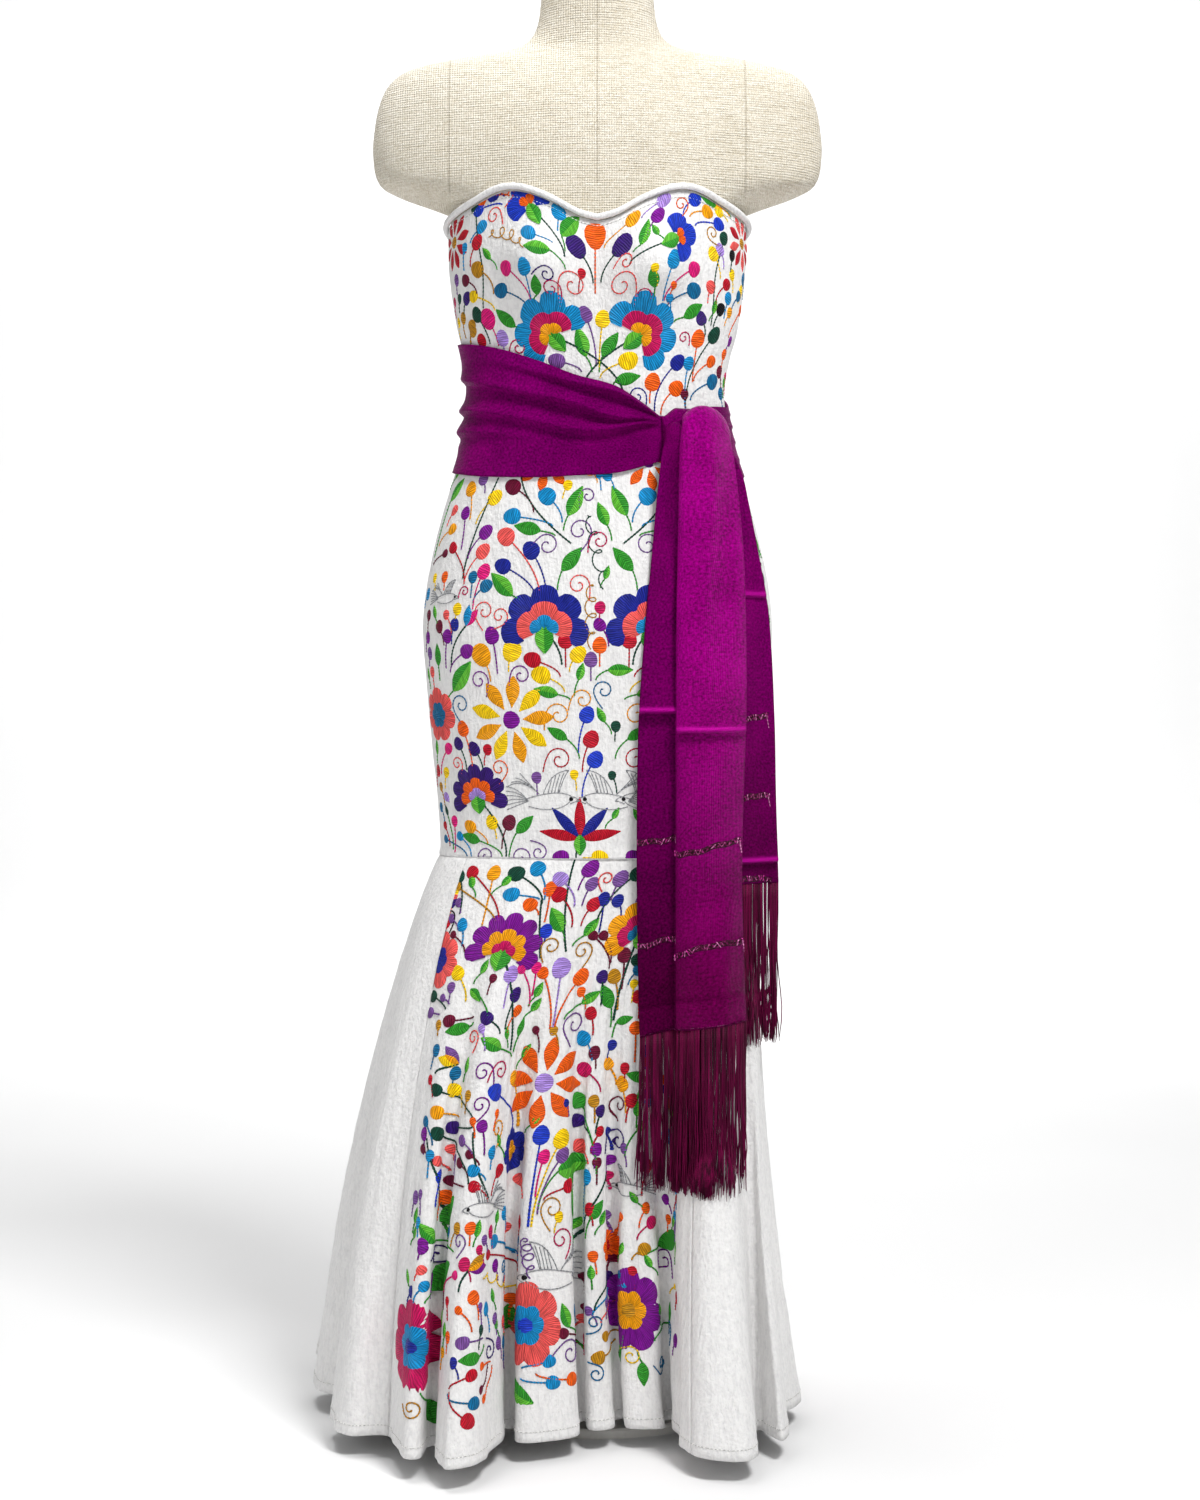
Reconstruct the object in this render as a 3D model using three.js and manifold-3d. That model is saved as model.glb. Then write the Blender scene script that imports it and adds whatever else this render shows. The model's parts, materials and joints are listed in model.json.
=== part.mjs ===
// Embroidered mermaid dress with a purple sash, worn by a limbless dress form on a stand.
// Millimetres, +Z up, the wearer faces -Y, the origin is under the pole on the floor.
import * as THREE from "three";
import { mergeVertices } from "three/addons/utils/BufferGeometryUtils.js";
import Module from "manifold-3d";

// ---------------------------------------------------------------- driving dimensions
const CLOTH = 1.4;            // thickness of the cotton
const SEAM = 0.3;             // space left between neighbouring pieces
const FORM_CLEARANCE = 0.8;   // between the dress and the form inside it
const KNEE_SEAM = 590;        // height of the seam where the flounce is sewn on
const HEM = 22;               // height of the hem above the floor
const NECKLINE = 1208;        // height of the neckline at the centre front
const NECKLINE_START = 1125;  // rows above this bend with the neckline
const SHOULDER_START = 1262;  // rows above this are level again
const ANGLE_STEP = 9;         // degrees between two columns of the fitted pieces
const STEPS_PER_THIRD = 2;    // columns of the flounce for each third of a fold

// Level sections of the outside of the fitted dress, and of the form above it: half width at the
// side, depth to the front and to the back, squareness of the oval, and how far the shoulder
// caps stand out beyond it.
const SECTIONS = [
  { z: 560, side: 161, front: 99, back: 107, square: 2.1, cap: 0 },
  { z: 590, side: 161, front: 99, back: 107, square: 2.1, cap: 0 },
  { z: 643, side: 164, front: 101, back: 111, square: 2.1, cap: 0 },
  { z: 705, side: 170, front: 104, back: 116, square: 2.1, cap: 0 },
  { z: 766, side: 175, front: 107, back: 120, square: 2.15, cap: 0 },
  { z: 827, side: 178, front: 109, back: 121, square: 2.15, cap: 0 },
  { z: 888, side: 169, front: 105, back: 116, square: 2.15, cap: 0 },
  { z: 949, side: 153, front: 98, back: 106, square: 2.15, cap: 0 },
  { z: 1000, side: 137, front: 91, back: 93, square: 2.15, cap: 0 },
  { z: 1050, side: 129, front: 87, back: 84, square: 2.15, cap: 0 },
  { z: 1085, side: 133, front: 89, back: 85, square: 2.15, cap: 0 },
  { z: 1120, side: 142, front: 94, back: 89, square: 2.15, cap: 0 },
  { z: 1180, side: 150, front: 103, back: 94, square: 2.15, cap: 0 },
  { z: 1224, side: 150, front: 103, back: 95, square: 2.15, cap: 0 },
  { z: 1233, side: 150, front: 103, back: 95, square: 2.15, cap: 0 },
  { z: 1241, side: 151, front: 103, back: 96, square: 2.15, cap: 20 },
  { z: 1251, side: 151, front: 102, back: 97, square: 2.15, cap: 50 },
  { z: 1262, side: 151, front: 101, back: 98, square: 2.15, cap: 70 },
  { z: 1290, side: 150, front: 97, back: 98, square: 2.15, cap: 78 },
  { z: 1320, side: 148, front: 90, back: 96, square: 2.05, cap: 78 },
  { z: 1345, side: 144, front: 81, back: 90, square: 1.9, cap: 76 },
  { z: 1362, side: 136, front: 73, back: 83, square: 1.75, cap: 74 },
  { z: 1374, side: 124, front: 67, back: 76, square: 1.6, cap: 68 },
  { z: 1383, side: 108, front: 62, back: 71, square: 1.5, cap: 48 },
  { z: 1390, side: 90, front: 59, back: 68, square: 1.55, cap: 20 },
  { z: 1398, side: 76, front: 57, back: 65, square: 1.7, cap: 4 },
  { z: 1412, side: 65, front: 55, back: 62, square: 1.9, cap: 0 },
  { z: 1440, side: 59, front: 54, back: 60, square: 2, cap: 0 },
  { z: 1478, side: 57, front: 53, back: 58, square: 2, cap: 0 },
];
const CAP_SPREAD = 20;        // degrees over which a shoulder cap fades out round the body
const BUST = { angle: 27, spread: 16, height: 1166, above: 44, below: 32, fullness: 25 };

// Height of the neckline round the body: angle from the centre front, height.
const NECKLINE_HEIGHTS = [
  { angle: 0, z: 1208 },
  { angle: 10, z: 1213 },
  { angle: 24, z: 1228 },
  { angle: 38, z: 1239 },
  { angle: 48, z: 1240 },
  { angle: 62, z: 1230 },
  { angle: 76, z: 1221 },
  { angle: 90, z: 1215 },
  { angle: 125, z: 1203 },
  { angle: 180, z: 1197 },
];
const DRESS_LEVELS = [590, 625, 660, 705, 750, 792, 827, 866, 908, 949, 972, 996, 1020, 1044, 1068,
  1092, 1120, 1140, 1158, 1174, 1190, 1208];

// The flounce hangs in seventeen folds. Each row is one fold: the valley before it and its ridge
// at the hem (x, y), how wide the ridge is, and the angles on the knee seam that they hang from.
const HEM_FOLDS = [
  { valleyAt: -65, valleyX: -206, valleyY: -158, ridgeAt: -57, ridgeX: -182, ridgeY: -228, wide: 20 },
  { valleyAt: -48, valleyX: -158, valleyY: -196, ridgeAt: -37, ridgeX: -127, ridgeY: -252, wide: 46 },
  { valleyAt: -25, valleyX: -88, valleyY: -138, ridgeAt: -13, ridgeX: -50, ridgeY: -172, wide: 50 },
  { valleyAt: -3, valleyX: -14, valleyY: -112, ridgeAt: 5, ridgeX: 5, ridgeY: -134, wide: 20 },
  { valleyAt: 14, valleyX: 24, valleyY: -102, ridgeAt: 25, ridgeX: 48, ridgeY: -130, wide: 32 },
  { valleyAt: 44, valleyX: 74, valleyY: -106, ridgeAt: 64, ridgeX: 118, ridgeY: -228, wide: 60 },
  { valleyAt: 76, valleyX: 160, valleyY: -140, ridgeAt: 83, ridgeX: 184, ridgeY: -164, wide: 24 },
  { valleyAt: 92, valleyX: 184, valleyY: -86, ridgeAt: 102, ridgeX: 206, ridgeY: -22, wide: 46 },
  { valleyAt: 113, valleyX: 172, valleyY: 44, ridgeAt: 122, ridgeX: 200, ridgeY: 108, wide: 34 },
  { valleyAt: 132, valleyX: 148, valleyY: 142, ridgeAt: 142, ridgeX: 158, ridgeY: 222, wide: 34 },
  { valleyAt: 151, valleyX: 100, valleyY: 180, ridgeAt: 160, ridgeX: 80, ridgeY: 264, wide: 34 },
  { valleyAt: 170, valleyX: 22, valleyY: 198, ridgeAt: 180, ridgeX: -14, ridgeY: 276, wide: 36 },
  { valleyAt: 190, valleyX: -70, valleyY: 204, ridgeAt: 200, ridgeX: -112, ridgeY: 286, wide: 38 },
  { valleyAt: 211, valleyX: -164, valleyY: 208, ridgeAt: 222, ridgeX: -222, ridgeY: 264, wide: 40 },
  { valleyAt: 236, valleyX: -242, valleyY: 174, ridgeAt: 246, ridgeX: -304, ridgeY: 180, wide: 44 },
  { valleyAt: 256, valleyX: -262, valleyY: 104, ridgeAt: 265, ridgeX: -298, ridgeY: 40, wide: 50 },
  { valleyAt: 275, valleyX: -256, valleyY: -24, ridgeAt: 285, ridgeX: -258, ridgeY: -126, wide: 64 },
];
const RIDGE_SPREAD = 3;       // degrees from a ridge's middle to its shoulders, on the knee seam
const SWAY = -42;             // the whole hem hangs this far to the wearer's right
const SWAY_POWER = 2.6;       // how early on its way down the flounce swings out
const FLARE_POWER = 0.75;     // how early it widens
const FOLD_POWER = 1.35;      // how early its folds deepen
const FLOUNCE_LEVELS = [0, 0.05, 0.12, 0.21, 0.31, 0.42, 0.53, 0.65, 0.77, 0.89, 1];

// The five panels of the flounce, by thirds of a fold round the hem.
const FLOUNCE_PANELS = [
  { name: "flounce_front", from: 0, to: 16 },
  { name: "flounce_side_right", from: 16, to: 23 },
  { name: "flounce_back_right", from: 23, to: 33 },
  { name: "flounce_back_left", from: 33, to: 42 },
  { name: "flounce_side_left", from: 42, to: 51 },
];

const PIPING_RADIUS = 3.2;
const PIPING_OUT = 2.4;        // its middle lies this far outside the dress
const PIPING_SIDES = 6;

// The sash round the waist: angle, height of its two edges, and how deep its folds are.
const SASH_CLOTH = 1.6;
const SASH_CLEARANCE = 1.3;
const SASH_FOLDS = 3;
const SASH_ROWS = 9;
const SASH_START = 36;        // at the knot, going round by the wearer's right side and back
const SASH_END = -297;
const SASH_TRIM = 0.1;        // degrees left free between the knot and what it joins
const SASH_EDGES = [
  { angle: -297, top: 1036, bottom: 976, fold: 6 },
  { angle: -270, top: 1044, bottom: 972, fold: 5 },
  { angle: -235, top: 1078, bottom: 970, fold: 4 },
  { angle: -180, top: 1106, bottom: 972, fold: 3.5 },
  { angle: -120, top: 1110, bottom: 976, fold: 3.5 },
  { angle: -90, top: 1104, bottom: 976, fold: 3.5 },
  { angle: -60, top: 1094, bottom: 967, fold: 4 },
  { angle: -35, top: 1078, bottom: 964, fold: 4.5 },
  { angle: -13, top: 1063, bottom: 965, fold: 5 },
  { angle: 12, top: 1048, bottom: 968, fold: 6 },
  { angle: 36, top: 1028, bottom: 980, fold: 6 },
];
const KNOT = { from: 36, to: 63, bottom: 976, top: 1032, edge: 7, fullness: 17, steps: 6 };

// The two ends of the sash hang from the knot. The front one is pleated lengthwise: this is its
// section seen from above, as places across it (0 at the left edge, 1 at the pleat's edge, 2 at
// the right edge) and how far each lies in front of the first layer.
const PLEAT = [
  { across: 0, out: 0 },
  { across: 0.5, out: 0.6 },
  { across: 1, out: 0 },
  { across: 1.38, out: 0 },
  { across: 1.44, out: 2.6 },
  { across: 1.38, out: 5.2 },
  { across: 1.06, out: 5.2 },
  { across: 0.99, out: 7.8 },
  { across: 1.06, out: 10.4 },
  { across: 1.35, out: 12 },
  { across: 1.7, out: 11.5 },
  { across: 2, out: 9 },
];
// Edges of the front end at each height, and of the one behind it.
const FRONT_END = [
  { z: 1012, left: 66, pleat: 82, right: 131 },
  { z: 985, left: 63, pleat: 81, right: 134 },
  { z: 940, left: 58, pleat: 80, right: 139 },
  { z: 881, left: 53, pleat: 79, right: 144 },
  { z: 827, left: 48, pleat: 78, right: 146 },
  { z: 731, left: 41, pleat: 78, right: 147 },
  { z: 609, left: 39, pleat: 78, right: 144 },
  { z: 502, left: 40, pleat: 78, right: 144 },
  { z: 414, left: 42, pleat: 78, right: 146 },
];
const BACK_END = [
  { z: 972, left: 98, right: 136 },
  { z: 940, left: 97, right: 141 },
  { z: 881, left: 97, right: 151 },
  { z: 827, left: 98, right: 163 },
  { z: 726, left: 100, right: 174 },
  { z: 647, left: 102, right: 175 },
  { z: 562, left: 104, right: 177 },
];
const BACK_END_COLUMNS = 8;
const END_CLEARANCE = { front: 5.8, back: 1.8, onFlounce: 5, fadeIn: 60 };
const SLANT = { rise: 18, from: 900, over: 486 };  // the right corner of the front end hangs higher
const FRINGE = {
  strip: 6, front: 43, back: 26, frontLength: 150, backLength: 160, radius: 0.9, uneven: 0.16, step: 2.4,
};

// The stand.
const BASE = { radius: 140, height: 10, setBack: 45, bevel: 2 };
const POLE_RADIUS = 14;
const TORSO_BOTTOM = 745;
const NECK_TOP = 1478;
const NECK_CAP = { height: 14, radius: 54, bevel: 6 };

// ---------------------------------------------------------------- small helpers
const radians = (degrees) => (degrees * Math.PI) / 180;
const mix = (a, b, t) => a + (b - a) * t;
const bell = (distance, spread) => Math.exp(-((distance / spread) ** 2));
const clamp01 = (t) => Math.min(1, Math.max(0, t));
const range = (count) => Array.from({ length: count }, (_, index) => index);

// Smooth curve through the rows of a table: column `value` as a function of column `key`.
function along(table, key, value, x) {
  const last = table.length - 1;
  const row = Math.min(Math.max(table.findIndex((r) => r[key] > x) - 1, 0), last - 1);
  const index = x >= table[last][key] ? last - 1 : row;
  const slope = (i) => {
    const a = table[Math.max(i - 1, 0)];
    const b = table[Math.min(i + 1, last)];
    return (b[value] - a[value]) / (b[key] - a[key]);
  };
  const [a, b] = [table[index], table[index + 1]];
  const span = b[key] - a[key];
  const t = clamp01((x - a[key]) / span);
  const bend = t * (1 - t) * span;
  return mix(a[value], b[value], t * t * (3 - 2 * t))
    + bend * ((1 - t) * slope(index) - t * slope(index + 1));
}

// ---------------------------------------------------------------- shape of the fitted dress
// Distance from the axis to the outside of the dress, at an angle from the centre front.
function bodyRadius(angle, z) {
  const s = Math.abs(Math.sin(radians(angle)));
  const c = Math.cos(radians(angle));
  const at = (column) => along(SECTIONS, "z", column, z);
  const depth = c > 0 ? at("front") : at("back");
  const n = at("square");
  const oval = ((s / at("side")) ** n + (Math.abs(c) / depth) ** n) ** (-1 / n);
  const turned = Math.abs(((angle % 360) + 540) % 360 - 180);
  const cap = at("cap") * bell(turned - 90, CAP_SPREAD);
  const rise = z - BUST.height;
  const bust = BUST.fullness * bell(turned - BUST.angle, BUST.spread)
    * bell(rise, rise > 0 ? BUST.above : BUST.below);
  return oval + cap + bust;
}

function bodyPoint(angle, z, out = 0) {
  const r = bodyRadius(angle, z) + out;
  return [r * Math.sin(radians(angle)), -r * Math.cos(radians(angle)), z];
}

function necklineHeight(angle) {
  const turned = Math.abs(((angle % 360) + 540) % 360 - 180);
  return along(NECKLINE_HEIGHTS, "angle", "z", turned);
}

// A nominal level, bent so that level NECKLINE runs along the neckline.
function bentLevel(angle, level) {
  const bend = necklineHeight(angle) - NECKLINE;
  const rising = (level - NECKLINE_START) / (NECKLINE - NECKLINE_START);
  const falling = (SHOULDER_START - level) / (SHOULDER_START - NECKLINE);
  return level + bend * clamp01(Math.min(rising, falling));
}

// ---------------------------------------------------------------- shape of the flounce
// Each fold as its valley and the two shoulders of its ridge.
const FOLD_THIRDS = HEM_FOLDS.flatMap((fold, index) => {
  const next = HEM_FOLDS[(index + 1) % HEM_FOLDS.length];
  const [dx, dy] = [next.valleyX - fold.valleyX, next.valleyY - fold.valleyY];
  const half = fold.wide / 2 / Math.hypot(dx, dy);
  const shoulder = (side) => ({
    at: fold.ridgeAt + side * RIDGE_SPREAD,
    x: fold.ridgeX + side * half * dx,
    y: fold.ridgeY + side * half * dy,
  });
  return [{ at: fold.valleyAt, x: fold.valleyX, y: fold.valleyY }, shoulder(-1), shoulder(1)];
});

// Smooth closed curve through the folds: u counts thirds of a fold round the hem.
function hemValue(u, column) {
  const count = FOLD_THIRDS.length;
  const start = Math.floor(u);
  const t = u - start;
  const at = (offset) => {
    const index = start + offset;
    const turns = Math.floor(index / count);
    const value = FOLD_THIRDS[index - turns * count][column];
    return column === "at" ? value + 360 * turns : value;
  };
  const [a, b, c, d] = [at(-1), at(0), at(1), at(2)];
  if (column === "at") return mix(b, c, t);
  return b + 0.5 * t * (c - a + t * (2 * a - 5 * b + 4 * c - d + t * (3 * (b - c) + d - a)));
}

// The hem with its folds ironed out: the mean over one whole fold.
function hemMean(u, column) {
  const samples = range(13).map((i) => hemValue(u - 1.5 + i / 4, column));
  return (samples.reduce((sum, value) => sum + value) - (samples[0] + samples[12]) / 2) / 12;
}

function flouncePoint(u, v) {
  const seam = bodyPoint(hemValue(u, "at"), KNEE_SEAM);
  const wide = v ** FLARE_POWER;
  const deep = v ** FOLD_POWER;
  const swing = 1 - (1 - v) ** SWAY_POWER;
  const [x, y] = ["x", "y"].map((column, axis) => {
    const mean = hemMean(u, column);
    const fold = hemValue(u, column) - mean;
    const sway = axis === 0 ? SWAY : 0;
    return mix(seam[axis], mean - sway, wide) + sway * swing + fold * deep;
  });
  return [x, y, mix(KNEE_SEAM - SEAM, HEM, v)];
}

// ---------------------------------------------------------------- solids from grids of points
// Triangles in a closed solid, turned so that they face out.
function closedGeometry(positions, faces) {
  const corner = (index) => new THREE.Vector3(...positions[index]);
  const wedge = ([a, b, c]) => corner(a).dot(corner(b).cross(corner(c)));
  const volume = faces.reduce((sum, face) => sum + wedge(face), 0);
  const outward = volume > 0 ? faces : faces.map(([a, b, c]) => [a, c, b]);
  const geometry = new THREE.BufferGeometry();
  geometry.setAttribute("position", new THREE.Float32BufferAttribute(positions.flat(), 3));
  geometry.setIndex(outward.flat());
  return geometry;
}

// A wall between an outer and an inner sheet; both are columns of points, bottom to top.
function wall(outer, inner) {
  const columns = outer.length;
  const rows = outer[0].length;
  const positions = [...outer.flat(), ...inner.flat()];
  const id = (side, i, j) => side * columns * rows + i * rows + j;
  const faces = [];
  const quad = (a, b, c, d) => faces.push([a, b, c], [a, c, d]);
  for (let i = 0; i + 1 < columns; i += 1) {
    for (let j = 0; j + 1 < rows; j += 1) {
      quad(id(0, i, j), id(0, i + 1, j), id(0, i + 1, j + 1), id(0, i, j + 1));
      quad(id(1, i, j), id(1, i, j + 1), id(1, i + 1, j + 1), id(1, i + 1, j));
    }
    quad(id(1, i, 0), id(1, i + 1, 0), id(0, i + 1, 0), id(0, i, 0));
    quad(id(0, i, rows - 1), id(0, i + 1, rows - 1), id(1, i + 1, rows - 1), id(1, i, rows - 1));
  }
  const end = columns - 1;
  for (let j = 0; j + 1 < rows; j += 1) {
    quad(id(1, 0, j), id(0, 0, j), id(0, 0, j + 1), id(1, 0, j + 1));
    quad(id(0, end, j), id(1, end, j), id(1, end, j + 1), id(0, end, j + 1));
  }
  return closedGeometry(positions, faces);
}

// A solid through closed rings, bottom to top, closed by flat ends.
function stack(rings) {
  const size = rings[0].length;
  const positions = rings.flat();
  const faces = [];
  for (let j = 0; j + 1 < rings.length; j += 1) {
    for (let i = 0; i < size; i += 1) {
      const [a, b] = [j * size + i, j * size + ((i + 1) % size)];
      faces.push([a, b, b + size], [a, b + size, a + size]);
    }
  }
  [rings[0], rings[rings.length - 1]].forEach((ring, top) => {
    const middle = positions.length;
    positions.push([0, 1, 2].map((axis) => ring.reduce((sum, p) => sum + p[axis], 0) / size));
    for (let i = 0; i < size; i += 1) {
      const [a, b] = [i, (i + 1) % size].map((index) => index + top * (rings.length - 1) * size);
      faces.push(top ? [a, b, middle] : [b, a, middle]);
    }
  });
  return closedGeometry(positions, faces);
}

// A ring-shaped solid: closed sections that follow each other round a closed path.
function hoop(sections) {
  const size = sections[0].length;
  const count = sections.length;
  const faces = [];
  for (let k = 0; k < count; k += 1) {
    for (let i = 0; i < size; i += 1) {
      const [a, b] = [k * size + i, k * size + ((i + 1) % size)];
      const [c, d] = [a, b].map((index) => (index + size) % (size * count));
      faces.push([a, b, d], [a, d, c]);
    }
  }
  return closedGeometry(sections.flat(), faces);
}

// ---------------------------------------------------------------- materials
const finish = (color, roughness, metalness = 0) =>
  new THREE.MeshStandardMaterial({ color, roughness, metalness });
const COTTON = () => finish(0xf3f1ec, 0.85);
const SATIN = () => finish(0x8a0a80, 0.5);
const THREAD = () => finish(0x5a0a38, 0.7);
const LINEN = () => finish(0xd9d0bd, 0.9);
const STEEL = () => finish(0xe6e4df, 0.45, 0.2);

const group = new THREE.Group();
function add(name, geometry, material) {
  const mesh = new THREE.Mesh(geometry, material);
  mesh.name = name;
  group.add(mesh);
  return mesh;
}

// ---------------------------------------------------------------- the fitted dress
// A panel from one angle to the next, half a seam short of each end and of the knee seam.
function fittedPanel(from, to) {
  const steps = Math.round((to - from) / ANGLE_STEP);
  const trim = (SEAM / 2 / bodyRadius(from, KNEE_SEAM)) * (180 / Math.PI);
  const angles = range(steps + 1).map((i) => mix(from, to, i / steps));
  angles[0] += trim;
  angles[steps] -= trim;
  const sheet = (out) => angles.map((angle) =>
    DRESS_LEVELS.map((level) => bodyPoint(angle, bentLevel(angle, level), out)));
  return wall(sheet(0), sheet(-CLOTH));
}

add("dress_front", fittedPanel(-90, 90), COTTON());
add("dress_back_left", fittedPanel(180, 270), COTTON());
add("dress_back_right", fittedPanel(90, 180), COTTON());

// Rolled binding along the whole neckline.
function necklinePiping() {
  const sections = range(360 / ANGLE_STEP).map((k) => {
    const angle = k * ANGLE_STEP;
    const z = necklineHeight(angle) + PIPING_RADIUS + SEAM;
    return range(PIPING_SIDES).map((i) => {
      const turn = radians((360 / PIPING_SIDES) * (i + 0.5));
      const [out, up] = [PIPING_RADIUS * Math.cos(turn), PIPING_RADIUS * Math.sin(turn)];
      const [x, y] = bodyPoint(angle, necklineHeight(angle), PIPING_OUT + out);
      return [x, y, z + up];
    });
  });
  return hoop(sections);
}
add("neckline_piping", necklinePiping(), COTTON());

// ---------------------------------------------------------------- the flounce
function flouncePanel({ from, to }) {
  const steps = Math.round((to - from) * STEPS_PER_THIRD);
  const nudge = 0.02;
  const levels = [...FLOUNCE_LEVELS].reverse();
  const sheet = (out) => range(steps + 1).map((i) => levels.map((v) => {
    const u = mix(from, to, i / steps);
    const point = flouncePoint(u, v);
    const [before, after] = [flouncePoint(u - nudge, v), flouncePoint(u + nudge, v)];
    const [dx, dy] = [after[0] - before[0], after[1] - before[1]];
    const length = Math.hypot(dx, dy);
    const trim = (i === 0 ? SEAM / 2 : 0) - (i === steps ? SEAM / 2 : 0);
    return [
      point[0] + (out * dy + trim * dx) / length,
      point[1] - (out * dx - trim * dy) / length,
      point[2],
    ];
  }));
  return wall(sheet(0), sheet(-CLOTH));
}
FLOUNCE_PANELS.forEach((panel) => add(panel.name, flouncePanel(panel), COTTON()));

// ---------------------------------------------------------------- the form and its stand
const TORSO_ROUNDING = [
  { z: TORSO_BOTTOM, inset: 26 },
  { z: 749, inset: 13 },
  { z: 757, inset: 5 },
  { z: 768, inset: 1 },
];
const TORSO_SHOULDERS = [1220, 1232, 1242, 1252, 1264, 1280, 1300, 1322, 1345, 1362, 1374, 1383,
  1391, 1402, 1425, NECK_TOP];

function torso() {
  const angles = range(360 / ANGLE_STEP).map((i) => i * ANGLE_STEP);
  const inside = CLOTH + FORM_CLEARANCE;
  const rounded = TORSO_ROUNDING.map(({ z, inset }) =>
    angles.map((angle) => bodyPoint(angle, z, -inside - inset)));
  const levels = [...DRESS_LEVELS.filter((level) => level > 790), ...TORSO_SHOULDERS];
  const fitted = levels.map((level) =>
    angles.map((angle) => bodyPoint(angle, bentLevel(angle, level), -inside)));
  return stack([...rounded, ...fitted]);
}
add("form_torso", torso(), LINEN());

// A round body standing on the floor side of its profile (radius, height).
function turned(name, profile, material, [x, y, z]) {
  const points = profile.map(([radius, height]) => new THREE.Vector2(radius, height));
  const mesh = add(name, new THREE.LatheGeometry(points, 32), material);
  mesh.rotation.x = Math.PI / 2;
  mesh.position.set(x, y, z);
  return mesh;
}

turned("form_neck_cap", [
  [0, 0],
  [NECK_CAP.radius - 1, 0],
  [NECK_CAP.radius, NECK_CAP.height - NECK_CAP.bevel],
  [NECK_CAP.radius - NECK_CAP.bevel, NECK_CAP.height],
  [0, NECK_CAP.height],
], finish(0xb08a5a, 0.5), [0, 2, NECK_TOP + SEAM]);

turned("stand_pole", [
  [0, 0],
  [POLE_RADIUS, 0],
  [POLE_RADIUS, TORSO_BOTTOM - BASE.height - 2 * SEAM],
  [0, TORSO_BOTTOM - BASE.height - 2 * SEAM],
], STEEL(), [0, 0, BASE.height + SEAM]);

turned("stand_base", [
  [0, 0],
  [BASE.radius, 0],
  [BASE.radius, BASE.height - BASE.bevel],
  [BASE.radius - BASE.bevel, BASE.height],
  [0, BASE.height],
], STEEL(), [0, BASE.setBack, 0]);

// ---------------------------------------------------------------- the sash
// How far the sash stands off the dress: t runs from its lower edge to its upper edge.
function sashLift(angle, t) {
  const depth = along(SASH_EDGES, "angle", "fold", angle);
  return SASH_CLEARANCE + depth * (0.5 - 0.5 * Math.cos(2 * Math.PI * SASH_FOLDS * t)) * (0.6 + 0.4 * t);
}

function sashWrap() {
  const steps = Math.round((SASH_START - SASH_END) / ANGLE_STEP);
  const angles = range(steps + 1).map((i) => mix(SASH_END, SASH_START, i / steps));
  angles[0] += SASH_TRIM;
  angles[steps] -= SASH_TRIM;
  const sheet = (out) => angles.map((angle) => range(SASH_ROWS + 1).map((j) => {
    const t = j / SASH_ROWS;
    const edge = (column) => along(SASH_EDGES, "angle", column, angle);
    return bodyPoint(angle, mix(edge("bottom"), edge("top"), t), out + sashLift(angle, t));
  }));
  return wall(sheet(SASH_CLOTH), sheet(0));
}
add("sash_wrap", sashWrap(), SATIN());

// How far the knot swells out, from its edges (0) to its middle (1).
function knotRise(s, t) {
  return Math.sqrt(Math.sin(Math.PI * clamp01(s)) * Math.sin(Math.PI * clamp01(t)));
}

// A rounded lump between the two ends of the wrap.
function knot() {
  const step = (i) => i / KNOT.steps;
  const sheet = (swell) => range(KNOT.steps + 1).map((i) => range(KNOT.steps + 1).map((j) => {
    const angle = mix(KNOT.from + SASH_TRIM, KNOT.to - SASH_TRIM, step(i));
    const out = swell ? KNOT.edge + KNOT.fullness * knotRise(step(i), step(j)) : SASH_CLEARANCE;
    return bodyPoint(angle, mix(KNOT.bottom, KNOT.top, step(j)), out);
  }));
  return wall(sheet(true), sheet(false));
}
add("sash_knot", knot(), SATIN());

// How far in front of the axis the dress reaches at a place across it, knot and sash included.
function frontDepth(x, z) {
  if (z > KNEE_SEAM) {
    const wrapped = z > KNOT.bottom - 12 && z < KNOT.top;
    const t = (z - KNOT.bottom) / (KNOT.top - KNOT.bottom);
    const rise = (angle) => knotRise((angle - KNOT.from) / (KNOT.to - KNOT.from), t);
    const lift = (angle) => (wrapped ? KNOT.edge + 1 + KNOT.fullness * rise(angle) : 0);
    let [low, high] = [0, 90];
    range(30).forEach(() => {
      const middle = (low + high) / 2;
      if (bodyPoint(middle, z, lift(middle))[0] < x) low = middle;
      else high = middle;
    });
    return high > 89.9 ? 0 : -bodyPoint(low, z, lift(low))[1];
  }
  const v = (KNEE_SEAM - z) / (KNEE_SEAM - HEM);
  const ring = range(193).map((i) => flouncePoint(i / 8, v));
  return ring.reduce((depth, point, i) => {
    const before = ring[Math.max(i - 1, 0)];
    if ((before[0] - x) * (point[0] - x) > 0 || before[0] === point[0]) return depth;
    return Math.max(depth, -mix(before[1], point[1], (x - before[0]) / (point[0] - before[0])));
  }, 0);
}

// Depths down one hanging column: it falls straight from the place that stands out furthest.
function hang(places, clearance) {
  let depth = 0;
  return places.map(([x, z]) => {
    const skirted = END_CLEARANCE.onFlounce * clamp01((KNEE_SEAM - z) / END_CLEARANCE.fadeIn);
    depth = Math.max(depth, frontDepth(x, z) + clearance + skirted);
    return [x, -depth, z];
  });
}

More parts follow.
